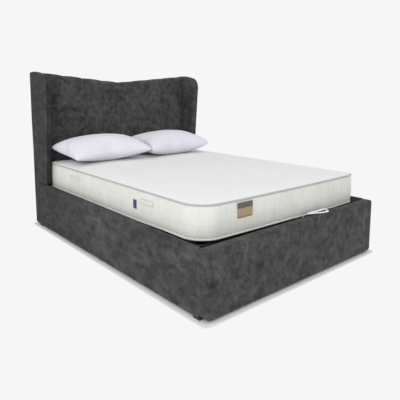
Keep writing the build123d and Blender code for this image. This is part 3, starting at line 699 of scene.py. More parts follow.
def headboard_padding():
    stations = np.linspace(-PAD_HALF, PAD_HALF, 321)
    rings = []
    for x in stations:
        share, channel = channel_share(x)
        edge = min(1.0, (PAD_HALF - abs(x)) / PAD_EDGE)
        swell = math.sqrt(max(0.0, 1 - (1 - share) ** 2))
        groove = GROOVE_DEPTH * near_seam(share, GROOVE_SHARE) * edge
        front = PAD_FRONT + CHANNEL_DEPTH * (1 - swell) + groove
        top, back = pad_top(x), BACK_CLOTH - BACK_ROUND
        high = top - TOP_ROUND
        points = [(front, z) for z in np.linspace(PAD_LOW, high, 130, endpoint=False)]
        points += quarter((front + TOP_ROUND, high), TOP_ROUND, 180, 90, 10)
        points += [(y, top) for y in np.linspace(front + TOP_ROUND, back, 12, endpoint=False)]
        points += quarter((back, top - BACK_ROUND), BACK_ROUND, 90, 0, 4)
        points += [(BACK_CLOTH, top - WRAP), (BOARD_FRONT, top - WRAP), (BOARD_FRONT, PAD_LOW)]
        points = np.array(points)
        y, z = points[:, 0].copy(), points[:, 1].copy()
        face = y < PAD_FRONT + PAD_FACE
        pull = np.sin(z * 61.0 + channel * 1.9) * np.sin(z * 23.0 + channel * 0.8)
        crease = CREASE_DEPTH * near_seam(share, CREASE_SHARE) * edge * pull
        sag = PAD_SAG * ripple(x, y, z, 11.0, channel * 1.3)
        y = np.where(face, y + crease + sag + PAD_SAG, y)
        rings.append(np.stack([np.full_like(y, x), y, z], axis=1))
    return shell("headboard_velvet", rings, VELVET)


headboard = headboard_padding()
print("headboard faces", len(headboard.data.polygons))

# %% [markdown]
# Below the channels, inside the storage box, the board has only a thin flat pad.

# %% Lower headboard pad
LOWER_PAD_LOW, LOWER_PAD_HIGH = (-PAD_HALF, 1.0605, 0.016), (PAD_HALF, 1.0775, 0.3915)
LOWER_PAD_EDGE, LOWER_PAD_STEP, LOWER_PAD_WAVE = 0.004, 0.04, 0.001


def vertex_places(made):
    return np.array([v.co for v in made.data.vertices])


def move_vertices(made, places):
    made.data.vertices.foreach_set("co", places.ravel())
    made.data.update()


def flat_pad(name, low, high, edge, step, wave, material):
    """A thin pad: a fine grid box with softened edges."""
    work = bmesh.new()
    bmesh.ops.create_cube(work, size=1.0)
    size = [b - a for a, b in zip(low, high)]
    middle = [(a + b) / 2 for a, b in zip(low, high)]
    for vert in work.verts:
        vert.co = Vector([m + s * c for m, s, c in zip(middle, size, vert.co)])
    bmesh.ops.bevel(work, geom=work.edges[:], offset=edge, segments=3, profile=0.5,
                    affect="EDGES")
    for axis in range(3):
        for place in run(low[axis] + step, high[axis] - edge * 1.5, step):
            normal = [0.0, 0.0, 0.0]
            normal[axis] = 1.0
            point = list(middle)
            point[axis] = place
            whole = work.verts[:] + work.edges[:] + work.faces[:]
            bmesh.ops.bisect_plane(work, geom=whole, plane_co=point, plane_no=normal)
    mesh = bpy.data.meshes.new(name)
    work.to_mesh(mesh)
    work.free()
    mesh.materials.append(material)
    smooth_faces(mesh)
    made = add_object(name, mesh)
    places = vertex_places(made)
    thin = int(np.argmin(size))
    shift = wave * ripple(places[:, 0], places[:, 1], places[:, 2], 10.0, 2.0)
    toward = np.sign(places[:, thin] - middle[thin])
    places[:, thin] += toward * (shift - wave)
    move_vertices(made, places)
    return outward(made)


lower_pad = flat_pad("headboard_lower_velvet", LOWER_PAD_LOW, LOWER_PAD_HIGH, LOWER_PAD_EDGE,
                     LOWER_PAD_STEP, LOWER_PAD_WAVE, VELVET)
print("lower pad faces", len(lower_pad.data.polygons))

# %% [markdown]
# ## Wings
# A wing is a thick padded board whose front edge leans forward and turns over the top in a
# round corner. Its outer face is flat up to a sewn edge, and from there the padding rolls
# inwards over the front and the top. Seen from the side it is one closed line, so that line is
# made first, with a number at each point for how far the padding gives way there.

# %% Wing outline
WING_OUTER, WING_INNER = 0.810, 0.7555
WING_TOP, WING_BACK_TOP, WING_BACK = 1.345, 1.337, 1.1632
WING_FOOT, WING_SHOULDER, WING_CORNER = (0.885, 0.3925), (0.812, 1.215), (0.907, 1.323)
WING_CROWN, WING_SLAB = (1.050, WING_TOP), 1.0605
WING_STEP = 0.006
SOFT, FIRM = 1.0, 0.06


def arc_through(first, second, third, count):
    """Points on the circle through three places, from the first on, without the last."""
    (ax, ay), (bx, by), (cx, cy) = first, second, third
    d = 2 * (ax * (by - cy) + bx * (cy - ay) + cx * (ay - by))
    a2, b2, c2 = ax * ax + ay * ay, bx * bx + by * by, cx * cx + cy * cy
    ux = (a2 * (by - cy) + b2 * (cy - ay) + c2 * (ay - by)) / d
    uy = (a2 * (cx - bx) + b2 * (ax - cx) + c2 * (bx - ax)) / d
    radius = math.dist((ux, uy), first)
    start, end = math.atan2(ay - uy, ax - ux), math.atan2(cy - uy, cx - ux)
    return [(ux + radius * math.cos(t), uy + radius * math.sin(t))
            for t in np.linspace(start, end, count, endpoint=False)]


def line_between(first, last, count):
    """Even points from first to last, without the last."""
    (y0, z0), (y1, z1) = first, last
    return [(y0 + (y1 - y0) * t, z0 + (z1 - z0) * t)
            for t in np.linspace(0, 1, count, endpoint=False)]


def wing_outline():
    """The wing's outline as (y, z, how soft), from the foot of the front edge over the top."""
    (fy, fz), (sy, sz) = WING_FOOT, WING_SHOULDER
    lean = math.atan2(sz - fz, sy - fy)
    chord = math.atan2(WING_CORNER[1] - sz, WING_CORNER[0] - sy)
    turn = 2 * (chord - lean)
    radius = abs(math.dist(WING_SHOULDER, WING_CORNER) / (2 * math.sin(turn / 2)))
    side = lean - math.pi / 2
    centre = (sy + radius * math.cos(side), sz + radius * math.sin(side))
    front = line_between(WING_FOOT, WING_SHOULDER,
                         round(math.dist(WING_FOOT, WING_SHOULDER) / WING_STEP))
    front += [(centre[0] + radius * math.cos(lean + math.pi / 2 + turn * t),
               centre[1] + radius * math.sin(lean + math.pi / 2 + turn * t))
              for t in np.linspace(0, 1, 24, endpoint=False)]
    front += arc_through(WING_CORNER, WING_CROWN, (WING_BACK, WING_BACK_TOP), 44)
    corners = [(WING_BACK, WING_BACK_TOP), (WING_BACK, RAIL_BOTTOM), (WING_SLAB, RAIL_BOTTOM),
               (WING_SLAB, fz), (fy, fz)]
    rest = []
    for first, last in zip(corners, corners[1:]):
        count = max(2, round(math.dist(first, last) / (WING_STEP * 2)))
        rest += line_between(first, last, count)
    return np.array([(*p, SOFT) for p in front] + [(*p, FIRM) for p in rest])


def inward(outline, depth):
    """Every soft point of the outline moved square to it by depth, the firm ones much less."""
    points = outline[:, :2]
    before, after = np.roll(points, 1, axis=0), np.roll(points, -1, axis=0)
    along = after - before
    along = along / np.linalg.norm(along, axis=1, keepdims=True)
    square = np.stack([along[:, 1], -along[:, 0]], axis=1)
    return points + square * depth * outline[:, 2:3]


print("points round a wing", len(wing_outline()))

# %% [markdown]
# The line is laid again and again across the wing, drawn in a little more each time, which
# gives a solid with long thin faces. A voxel remesh turns it into one even skin, a little
# smoothing takes off the remesh's steps, and the ripple can then move every point.

# %% Wings
WING_EDGE, WING_ROLL = 0.006, 0.021
WING_SWELL, WING_SINK = 0.0014, 0.0008
WING_VOXEL = 0.0055


def evaluated_mesh(made):
    """What an object's modifiers or curve settings make of it, as a plain mesh."""
    view = bpy.context.evaluated_depsgraph_get()
    return bpy.data.meshes.new_from_object(made.evaluated_get(view))


def remeshed(made, size):
    """The same closed shape as an even skin of small faces."""
    modifier = made.modifiers.new("skin", "REMESH")
    modifier.mode = "VOXEL"
    modifier.voxel_size = size
    mesh = evaluated_mesh(made)
    made.modifiers.clear()
    made.data = mesh
    smooth_faces(mesh)
    return made


def relaxed(made, times):
    """A few rounds of smoothing."""
    work = bmesh.new()
    work.from_mesh(made.data)
    for _ in range(times):
        bmesh.ops.smooth_vert(work, verts=work.verts, factor=0.5, use_axis_x=True,
                              use_axis_y=True, use_axis_z=True)
    work.to_mesh(made.data)
    work.free()
    return made


def wing(side):
    """One wing: the outline laid again and again, rolling inwards over front and top."""
    outline = wing_outline()
    flat = WING_OUTER - WING_EDGE
    rings = [(WING_OUTER - WING_EDGE * (1 - math.cos(angle)), WING_EDGE * (1 - math.sin(angle)))
             for angle in np.radians(np.linspace(0, 90, 5))]
    rings += [(flat + (WING_INNER - flat) * math.sin(angle), WING_ROLL * (1 - math.cos(angle)))
              for angle in np.radians(np.linspace(8, 88, 12))]
    places = []
    for x, depth in rings:
        points = inward(outline, depth)
        places.append(np.column_stack([np.full(len(points), side * x), points]))
    solid = shell(hand(side) + "_wing_velvet", places, VELVET)
    made = relaxed(remeshed(solid, WING_VOXEL), 2)
    where = vertex_places(made)
    outer = np.abs(where[:, 0]) > (WING_OUTER + WING_INNER) / 2
    swell = WING_SWELL * ripple(where[:, 1], where[:, 2], where[:, 1], 9.0, side + 2.0)
    where[:, 0] += side * np.where(outer, swell - WING_SINK, WING_SINK - swell * 0.5)
    move_vertices(made, where)
    return outward(made)


left_wing, right_wing = wing(-1), wing(1)
print("wing faces", len(left_wing.data.polygons))

# %% [markdown]
# ## Mattress
# The mattress is a rounded rectangle all the way up, drawn in where the edge tapes sit. Rings
# of the same point count run from the middle of the underside, out and up the border, and in
# again over the top. The border is quilted in narrow upright pleats, and the top in soft
# shallow diamonds that fade towards the edge. A sprung mattress is never quite square: its four
# corners have different radii, its foot side swells towards the foot panel, and the lower edge
# of its border hangs down a little, least at the left foot corner.

# %% Mattress outline
BED_HALF, BED_FOOT, BED_HEAD = 0.750, -1.030, 0.960
BED_LOW, BED_EDGE, BED_TOP = 0.3802, 0.5755, 0.5895
BED_RIM = 0.3742
BED_CORNERS = (0.056, 0.09, 0.032, 0.145)
ROUND_REACH, ROUND_KEPT, ROUND_MOST = 0.03, 0.8, 0.98
LONG_POINTS, SHORT_POINTS, CORNER_POINTS = 330, 250, 16
FOOT_BOW, FOOT_LEAN = 0.016, 0.017
RIM_SAG, RIM_LEAST = 0.009, 0.3
SAG_FROM_X, SAG_OVER_X = -0.18, 0.5
SAG_FROM_Y, SAG_OVER_Y = -0.80, 0.35


def footward(y):
    """How much of the foot side's own shape a place takes."""
    return np.clip(((BED_HEAD + BED_FOOT) / 2 - y) / ((BED_HEAD - BED_FOOT) / 2), 0, 1) ** 4


def foot_bow(x, y):
    """How far the soft foot side swells towards the foot panel at a place."""
    lean = FOOT_LEAN * np.clip((x / BED_HALF + 1) / 2, 0, 1)
    return (FOOT_BOW * np.clip(1 - (x / BED_HALF) ** 2, 0, 1) + lean) * footward(y)


def rim_sag(x, y):
    """How far the border's lower edge hangs down: least at the left foot corner."""
    rightward, headward = (x - SAG_FROM_X) / SAG_OVER_X, (y - SAG_FROM_Y) / SAG_OVER_Y
    return RIM_SAG * np.clip(np.maximum(rightward, headward), RIM_LEAST, 1)


def rounded_loop(inset):
    """Points and outward directions round the mattress, always equally many.

    An inset loop keeps some roundness at corners that its inset would have made sharp.
    """
    half_x, half_y = BED_HALF - inset, (BED_HEAD - BED_FOOT) / 2 - inset
    middle = (BED_HEAD + BED_FOOT) / 2
    kept = min(inset, ROUND_REACH) * ROUND_KEPT
    radii = [min(max(corner - inset, 0.0) + kept, half_x * ROUND_MOST) for corner in BED_CORNERS]
    points, ways = [], []
    sides = ((1, -1, -90), (1, 1, 0), (-1, 1, 90), (-1, -1, 180))
    corners = [(side * (half_x - radius), end * (half_y - radius), start)
               for radius, (side, end, start) in zip(radii, sides)]
    for i, (cx, cy, start) in enumerate(corners):
        radius, next_radius = radii[i], radii[(i + 1) % 4]
        for angle in np.radians(np.linspace(start, start + 90, CORNER_POINTS)):
            points.append((cx + radius * math.cos(angle), cy + middle + radius * math.sin(angle)))
            ways.append((math.cos(angle), math.sin(angle)))
        count = LONG_POINTS if i % 2 == 0 else SHORT_POINTS
        nx, ny, _ = corners[(i + 1) % 4]
        angle = math.radians(start + 90)
        end = (nx + next_radius * math.cos(angle), ny + middle + next_radius * math.sin(angle))
        last = points[-1]
        for t in np.linspace(0, 1, count + 2)[1:-1]:
            points.append((last[0] + (end[0] - last[0]) * t, last[1] + (end[1] - last[1]) * t))
            ways.append((math.cos(angle), math.sin(angle)))
    points = np.array(points)
    points[:, 1] -= foot_bow(points[:, 0], points[:, 1])
    return points, np.array(ways)


print("points round the mattress", len(rounded_loop(0.0)[0]))

# %% [markdown]
# The pleats are a sum of slow waves along the edge, so that no two are alike. Two lines of
# quilting run round the border, and the pleats are drawn tightest near the tapes.

# %% Mattress
NECK, NECK_HEIGHT = 0.010, 0.012
PUCKERS = ((0.019, 0.4), (0.026, 0.9), (0.037, 0.7), (0.058, 0.6))
PUCKER_DEPTH, BORDER_SLACK = 0.0045, 0.0008
BULGE_POWER, GATHER_LEAST, GATHER_POWER = 0.35, 0.25, 1.3
QUILT_LINES, QUILT_WIDTH, QUILT_DEPTH = (0.33, 0.67), 0.035, 0.0012
UNDER_INSETS = (0.6, 0.3, 0.08, 0.022)
DIAMOND, DIAMOND_SLANT, DIAMOND_DEPTH, DIAMOND_SEAM = 0.165, 0.75, 0.0022, 0.16
CROWN = ((0.0, 0.0), (0.006, 0.2), (0.014, 0.34), (0.026, 0.46), (0.045, 0.58), (0.07, 0.68),
         (0.1, 0.76))
CROWN_ON, CROWN_MIDDLE, CROWN_FADE, TOP_WAVE = 0.12, 0.735, 0.06, 0.0008
BORDER_MARGIN = 0.001


def top_quilting(x, y, depth_share):
    """Shallow diamonds sewn into the top, in metres below the crown."""
    a = np.abs(np.sin((x + y * DIAMOND_SLANT) * math.pi / DIAMOND))
    b = np.abs(np.sin((x - y * DIAMOND_SLANT) * math.pi / DIAMOND))
    seam = np.exp(-((a / DIAMOND_SEAM) ** 2)) + np.exp(-((b / DIAMOND_SEAM) ** 2))
    return -DIAMOND_DEPTH * np.minimum(seam, 1.0) * depth_share


def border_pleats():
    """From 0 in a pleat's fold to 1 on its ridge, at every point round the mattress."""
    outer, _ = rounded_loop(0.0)
    steps = np.linalg.norm(np.roll(outer, -1, axis=0) - outer, axis=1)
    travel = np.concatenate([[0.0], np.cumsum(steps)[:-1]])
    pleats = sum(weight * np.sin(travel * 2 * math.pi / length + 9 * weight
                                 + np.sin(travel * 5.3 + weight))
                 for length, weight in PUCKERS)
    return 0.5 + 0.5 * pleats / sum(weight for _, weight in PUCKERS)


def crown_steps():
    """(inset, share of the rise) from the top tape to the middle of the mattress."""
    inset, rise = CROWN[-1]
    over = CROWN_MIDDLE - inset
    return [*CROWN, *((d, rise + (1 - rise) * (1 - (1 - (d - inset) / over) ** 2))
                      for d in np.linspace(CROWN_ON, CROWN_MIDDLE, 34))]


def mattress():
    """Closed rings from the underside up the border and over the top, skinned as one body."""
    pleats = border_pleats()
    rings = []
    for inset in UNDER_INSETS:
        points, _ = rounded_loop(inset)
        rings.append(np.column_stack([points, np.full(len(points), BED_LOW)]))
    low, high = BED_RIM + NECK_HEIGHT, BED_EDGE - NECK_HEIGHT
    neck, _ = rounded_loop(NECK)
    for z in np.linspace(BED_RIM, low, 3):
        rings.append(np.column_stack([neck, z - rim_sag(*neck.T)]))
    for share in np.linspace(0, 1, 26)[1:-1]:
        points, ways = rounded_loop(0.0)
        bulge = math.sin(share * math.pi) ** BULGE_POWER
        line = sum(math.exp(-(((share - place) / QUILT_WIDTH) ** 2)) for place in QUILT_LINES)
        gather = GATHER_LEAST + (1 - GATHER_LEAST) * abs(2 * share - 1) ** GATHER_POWER
        depth = (NECK * (1 - bulge) + PUCKER_DEPTH * gather * bulge * (1 - pleats)
                 + QUILT_DEPTH * line * pleats)
        z = low + share * (high - low)
        soft = BORDER_SLACK * ripple(points[:, 0], points[:, 1], z, 16.0, 4.0)
        points = points - ways * (depth + soft + BORDER_SLACK)[:, None]
        rings.append(np.column_stack([points, z - rim_sag(*points.T) * (1 - share)]))
    for z in np.linspace(high, BED_EDGE, 3):
        rings.append(np.column_stack([neck, np.full(len(neck), z)]))
    for inset, rise in crown_steps():
        points, _ = rounded_loop(NECK + inset)
        x, y = points[:, 0], points[:, 1]
        fade = min(1.0, inset / CROWN_FADE)
        z = BED_EDGE + rise * (BED_TOP - BED_EDGE) + top_quilting(x, y, fade)
        z = z + fade * TOP_WAVE * ripple(x, y, 0.0, 12.0, 5.0)
        rings.append(np.column_stack([points, np.minimum(z, BED_TOP)]))
    made = shell("mattress_body", rings, KNIT)
    made.data.materials.append(BORDER)
    heights = np.array([p.center.z for p in made.data.polygons])
    border = heights < BED_EDGE - BORDER_MARGIN
    made.data.polygons.foreach_set("material_index", border.astype(int))
    return made


mattress_body = mattress()
print("mattress faces", len(mattress_body.data.polygons))

# %% [markdown]
# ## Edge tapes
# A stitched tape covers each seam of the mattress. It is a soft round cord seen from outside,
# swept along the same rounded rectangle as the body and a little wider than the neck it fills.
# The lower one hangs down with the border.

# %% Edge tapes
TAPE_RADIUS, TAPE_FLAT, TAPE_TALL, TAPE_SINK = 0.0047, 0.9, 1.1, 0.0002
TAPE_SECTIONS = 10
TOP_TAPE_HEIGHT, LOW_TAPE_HEIGHT = BED_EDGE - NECK_HEIGHT / 2, BED_RIM + NECK_HEIGHT / 2


def edge_tape(name, z, material, sag=0.0):
    """A closed cord round the mattress; sag is how much of the border's hang it follows."""
    points, ways = rounded_loop(NECK - TAPE_RADIUS + TAPE_SINK)
    heights = z - sag * rim_sag(*points.T)
    count = len(points)
    verts, faces = [], []
    for place, way, height in zip(points, ways, heights):
        for angle in np.linspace(0, 2 * math.pi, TAPE_SECTIONS, endpoint=False):
            out = TAPE_RADIUS * math.cos(angle) * TAPE_FLAT
            up = TAPE_RADIUS * math.sin(angle) * TAPE_TALL
            verts.append((place[0] + way[0] * out, place[1] + way[1] * out, height + up))
    for i in range(count):
        here, there = i * TAPE_SECTIONS, (i + 1) % count * TAPE_SECTIONS
        for j in range(TAPE_SECTIONS):
            k = (j + 1) % TAPE_SECTIONS
            faces.append((here + j, there + j, there + k, here + k))
    return outward(new_object(name, verts, faces, material))


top_tape = edge_tape("mattress_top_tape", TOP_TAPE_HEIGHT, EDGE_TAPE)
low_tape = edge_tape("mattress_low_tape", LOW_TAPE_HEIGHT, LOWER_TAPE, 1.0)
print("tape faces", len(top_tape.data.polygons))

# %% [markdown]
# ## Pillows
# A pillow is two flat pieces of cotton sewn together and filled. Blender's cloth can do just
# that: a flat closed bag is blown up by pressure, and its corners draw out into points while
# creases form along the seam, as on the real thing. A rounded block would have neither.
#
# Each form below says where the pillow lies and how it is filled. Half is half its thickness,
# and front and back are how high its seam is at those edges, because the pillows lean a little
# forward. Ends and edge say how full it is towards its sides, pull how far the seams are drawn
# in between the corners, and droop how much the middle of the front sinks. Turn gives each bag
# lumps of its own, and a corner is moved by what corners says.

# %% Pillow forms
PILLOWS = {
    "left_pillow": {
        "middle": (-0.382, 0.686), "size": (0.728, 0.46), "half": 0.106,
        "front": 0.106, "back": 0.13, "ends": 0.28, "edge": 0.6,
        "pull": 0.019, "turn": 1.7, "droop": 0.024,
        "corners": {(-1, -1): (0.02, 0.006, -0.055), (1, -1): (0.0, 0.0, -0.02),
                    (-1, 1): (-0.008, 0.0, -0.018)}},
    "right_pillow": {
        "middle": (0.326, 0.688), "size": (0.672, 0.46), "half": 0.106,
        "front": 0.09, "back": 0.13, "ends": 0.25, "edge": 0.5,
        "pull": 0.01, "turn": -1.7, "droop": 0.008,
        "corners": {(-1, -1): (0.0, 0.0, -0.02), (1, -1): (0.0, 0.012, 0.01)}},
}
BAG_STEP, BAG_HALF_THICK, BAG_LUMP = 0.014, 0.012, 0.002
BAG_SPARE_WIDTH, BAG_SPARE_DEPTH = 1.12, 1.16


def pillow_bag(name, width, depth, turn):
    """A flat closed bag of cloth with a fine even grid."""
    columns, rows = round(width / BAG_STEP), round(depth / BAG_STEP)
    xs = np.linspace(-width / 2, width / 2, columns + 1)
    ys = np.linspace(-depth / 2, depth / 2, rows + 1)
    points, index = [], {}
    for level in (-1, 1):
        for i, x in enumerate(xs):
            for j, y in enumerate(ys):
                rim = i in (0, columns) or j in (0, rows)
                if rim and level == 1:
                    index[level, i, j] = index[-1, i, j]
                    continue
                index[level, i, j] = len(points)
                lump = BAG_LUMP * math.sin(x * 23 + turn) * math.sin(y * 31)
                points.append((x, y, 0.0 if rim else level * (BAG_HALF_THICK + lump)))
    faces = []
    for i in range(columns):
        for j in range(rows):
            around = ((i, j), (i, j + 1), (i + 1, j + 1), (i + 1, j))
            faces.append(tuple(index[-1, a, b] for a, b in around))
            faces.append(tuple(index[1, a, b] for a, b in (around[0], *around[:0:-1])))
    return new_object(name, points, faces, COTTON)


print("pillow sizes", [form["size"] for form in PILLOWS.values()])

# %% [markdown]
# Cloth alone leaves a bag as tight as a balloon. A real pillow is limp and heaviest in the
# middle, so the blown-up bag is mixed with a plain filled form, and then its edges and corners
# are let down to where they lie.

# %% Pillows
PRESSURE, PILLOW_FRAMES = 5.0, 24
CLOTH_SETTINGS = {
    "quality": 6, "mass": 0.3, "use_pressure": True, "uniform_pressure_force": PRESSURE,
    "tension_stiffness": 25, "compression_stiffness": 18, "shear_stiffness": 8,
    "bending_stiffness": 2.0,
}
FILL_SHARE, BELLY = 0.7, 1.1
PILLOW_REST = 0.5912


def blow_up(bag):
    """The places of the bag's points after a few frames of pressure."""
    cloth = bag.modifiers.new("cloth", "CLOTH")
    for key, value in CLOTH_SETTINGS.items():
        setattr(cloth.settings, key, value)
    cloth.settings.effector_weights.gravity = 0
    cloth.collision_settings.use_self_collision = False
    cloth.point_cache.frame_start = 1
    cloth.point_cache.frame_end = PILLOW_FRAMES
    scene = bpy.context.scene
    for number in range(1, PILLOW_FRAMES + 1):
        scene.frame_set(number)
    places = vertex_places(bag.evaluated_get(bpy.context.evaluated_depsgraph_get()))
    bag.modifiers.clear()
    scene.frame_set(1)
    return places


def pillow(node, form):
    """The blown-up bag, plumped with filling and laid on the mattress."""
    width, depth = form["size"]
    bag = pillow_bag(node + "_cotton", width * BAG_SPARE_WIDTH, depth * BAG_SPARE_DEPTH,
                     form["turn"])
    flat = vertex_places(bag)
    u, v, face = (flat / np.abs(flat).max(axis=0)).T
    filled = np.sign(face) * (1 - u * u) ** form["ends"] * (1 - v * v) ** form["edge"]
    blown = np.column_stack([u, v, filled])
    move_vertices(bag, blow_up(bag))
    blown = vertex_places(relaxed(bag, 5))
    blown -= (blown.max(axis=0) + blown.min(axis=0)) / 2
    print(node, "blown up to", np.round(blown.max(axis=0) * 2, 3))
    blown /= blown.max(axis=0)
    across, along, rise = (FILL_SHARE * np.column_stack([u, v, filled])
                           + (1 - FILL_SHARE) * blown).T
    rise = np.where(rise < 0, rise * BELLY, rise)
    x = form["middle"][0] + across * (width / 2 - form["pull"] * (1 - v * v))
    y = form["middle"][1] + along * (depth / 2 - form["pull"] * (1 - u * u))
    level = form["front"] + (form["back"] - form["front"]) * (1 + v) / 2
    level -= form["droop"] * (1 - u * u) ** 0.7 * ((1 - v) / 2) ** 3
    moved = np.column_stack([x, y, PILLOW_REST + level + form["half"] * rise])
    for (right, back), move in form["corners"].items():
        near = np.clip((1 + right * u) / 2, 0, 1) * np.clip((1 + back * v) / 2, 0, 1)
        moved += near[:, None] ** 5 * np.array(move)
    moved[:, 2] = np.maximum(moved[:, 2], PILLOW_REST)
    move_vertices(bag, moved)
    smoother = bag.modifiers.new("rounder", "SUBSURF")
    smoother.levels = smoother.render_levels = 1
    return outward(bag)


pillow_pieces = {node: pillow(node, form) for node, form in PILLOWS.items()}
print("pillow faces", len(pillow_pieces["left_pillow"].data.polygons))

# %% [markdown]
# ## Handles, patch and tag
# The mattress has two cloth carrying handles on each long side, a plain woven patch at the
# foot end and a small folded tag. All are thin cloth, made as softly bent strips.

# %% Strips of cloth
STRIP_SHARES = np.linspace(-1, 1, 9)


def flat_ring(place, across, out, width, thickness):
    """Points once round a thin cross-section with soft edges."""
    edge = [place + across * s * width / 2 for s in STRIP_SHARES]
    half = [out * thickness / 2 * (1 - 0.5 * abs(s) ** 6) for s in STRIP_SHARES]
    return [a + b for a, b in zip(edge, half)] + [a - b for a, b in zip(edge[::-1], half[::-1])]


def strip(name, path, width, thickness, material, up=(0.0, 0.0, 1.0)):
    """A flat strip of cloth along a path, its width (one, or one for each place) along up."""
    path = np.asarray(path, float)
    along = np.gradient(path, axis=0)
    along /= np.linalg.norm(along, axis=1, keepdims=True)
    up = np.asarray(up, float)
    out = np.cross(along, up)
    out /= np.linalg.norm(out, axis=1, keepdims=True)
    rings = [flat_ring(place, up, way, wide, thickness)
             for place, way, wide in zip(path, out, np.broadcast_to(width, len(path)))]
    return shell(name, rings, material)


print("points round a strip", 2 * len(STRIP_SHARES))

# %% Handles, patch and tag
HANDLE_PLACES = (-0.540, 0.470)
HANDLE_LENGTH, HANDLE_HEIGHT, HANDLE_MIDDLE, HANDLE_THICK = 0.150, 0.030, 0.507, 0.0018
HANDLE_STAND, HANDLE_BOW, HANDLE_FREE, HANDLE_NARROW = 0.0010, 0.0035, 0.72, 0.82
HANDLE_WAIST = 0.7
THIN_CLOTH, CLOTH_STAND = 0.001, 0.0012
PATCH_LEFT, PATCH_RIGHT, PATCH_MIDDLE, PATCH_HEIGHT = -0.4745, -0.356, 0.511, 0.089
PATCH_WAVE, PATCH_WAVES, PATCH_FROM = 0.0004, 40, 0.47
TAG_PLACE, TAG_LOW, TAG_HIGH, TAG_WIDTH = -0.414, 0.4465, 0.5025, 0.036
TAG_STAND, TAG_SWELL, TAG_WAVES, TAG_FROM = 0.0013, 0.0008, 50, 0.446


def handles():
    """Four handles, each sewn down at its ends and slack between."""
    made = []
    stops = np.linspace(-1, 1, 41)
    bow = HANDLE_STAND + HANDLE_BOW * np.clip(1 - (stops / HANDLE_FREE) ** 2, 0, 1)
    widths = [HANDLE_HEIGHT * (HANDLE_NARROW if abs(s) < HANDLE_WAIST else 1.0) for s in stops]
    for side in (-1, 1):
        for place in HANDLE_PLACES:
            path = [(side * (BED_HALF + b), place + s * HANDLE_LENGTH / 2, HANDLE_MIDDLE)
                    for s, b in zip(stops, bow)]
            made.append(strip(f"handle_{len(made)}", path, widths, HANDLE_THICK, HANDLE_CLOTH))
    return made


def joined(name, objects):
    """Several meshes made one, in place."""
    points, faces, materials, indices, smooth = [], [], [], [], []
    for made in objects:
        shift = len(points)
        points.extend(tuple(v.co) for v in made.data.vertices)
        for polygon in made.data.polygons:
            material = made.data.materials[polygon.material_index]
            if material not in materials:
                materials.append(material)
            faces.append(tuple(shift + k for k in polygon.vertices))
            indices.append(materials.index(material))
            smooth.append(polygon.use_smooth)
        bpy.data.objects.remove(made, do_unlink=True)
    result = new_object(name, points, faces, materials[0])
    for material in materials[1:]:
        result.data.materials.append(material)
    result.data.polygons.foreach_set("material_index", indices)
    result.data.polygons.foreach_set("use_smooth", smooth)
    return result


def foot_patch():
    """The patch, bent like the foot side that it is sewn to."""
    path = []
    for x in np.linspace(PATCH_LEFT, PATCH_RIGHT, 24):
        wave = PATCH_WAVE * math.sin(PATCH_WAVES * (x + PATCH_FROM))
        path.append((x, BED_FOOT - CLOTH_STAND - foot_bow(x, BED_FOOT) - wave, PATCH_MIDDLE))
    return strip("mattress_patch", path, PATCH_HEIGHT, THIN_CLOTH, PATCH)


def side_tag():
    """The tag on the left side, standing off a little at its middle."""
    path = [(-BED_HALF - TAG_STAND - TAG_SWELL * math.sin((z - TAG_FROM) * TAG_WAVES), TAG_PLACE, z)
            for z in np.linspace(TAG_LOW, TAG_HIGH, 16)]
    return strip("mattress_side_tag", path, TAG_WIDTH, THIN_CLOTH, TAG_CLOTH, (0.0, 1.0, 0.0))


handle_straps = joined("mattress_handle_straps", handles())
patch, tag = foot_patch(), side_tag()
print("handle faces", len(handle_straps.data.polygons))

# %% [markdown]
# ## Pull strap
# A narrow webbing loop comes up from the platform's foot tube and lies nearly flat on the foot
# panel, its rear strand a little higher than its front one. A hand takes it to lift the
# platform. It is a strip along a hairpin path, with a short slack tail bent down to the tube.

# %% Pull strap
STRAP_LEFT, STRAP_RIGHT, STRAP_FRONT, STRAP_BEND = 0.096, 0.288, -1.136, 0.0155
STRAP_REAR = STRAP_FRONT + 2 * STRAP_BEND
STRAP_FLAT, STRAP_RAKE, STRAP_CLEAR = 0.0135, 0.009, 0.0045
STRAP_WIDTH, STRAP_THICK, STRAP_LOW = 0.0117, 0.0016, 0.3892
STRAP_WAVE, STRAP_WAVES, STRAP_SLACK, STRAP_SLACK_WAVES = 0.0016, 24, 0.0012, 9
STRAP_SHORT, STRAP_CLOSING, STRAP_CROSSING, STRAP_OVER = 0.004, 1.6, 8, 1.3
TAIL_TOP = STRAP_LOW + STRAP_CLEAR + STRAP_RAKE
TAIL_MARKS = ((STRAP_REAR, TAIL_TOP), (-1.0985, TAIL_TOP - 0.003), (-1.0895, 0.3905),
              (-1.085, 0.379), (-1.077, 0.3645), (-1.060, 0.3565), (-1.044, 0.3545),
              (-1.0345, 0.351), (-1.0314, 0.344), (-1.0314, 0.331))
TAIL_START, TAIL_BEND, TAIL_END = 0.102, 0.085, 0.0625


def strap_path():
    """The loop's middle line: out along the bed, round the bend, and back a little slack."""
    turn = STRAP_RIGHT - STRAP_BEND
    path = [(x, STRAP_REAR + STRAP_WAVE * math.sin((x - STRAP_LEFT) * STRAP_WAVES))
            for x in np.linspace(STRAP_LEFT, turn, 60)]
    for angle in np.radians(np.linspace(90, -90, 24))[1:-1]:
        y = STRAP_FRONT + STRAP_BEND * (1 + math.sin(angle))
        path.append((turn + STRAP_BEND * math.cos(angle), y))
    for share in np.linspace(0, 1, 60):
        x = turn + (STRAP_LEFT + STRAP_SHORT - turn) * share
        y = STRAP_FRONT + (STRAP_REAR - STRAP_FRONT) * share ** STRAP_CLOSING
        path.append((x, y - STRAP_SLACK * math.sin(share * STRAP_SLACK_WAVES)))
    return path


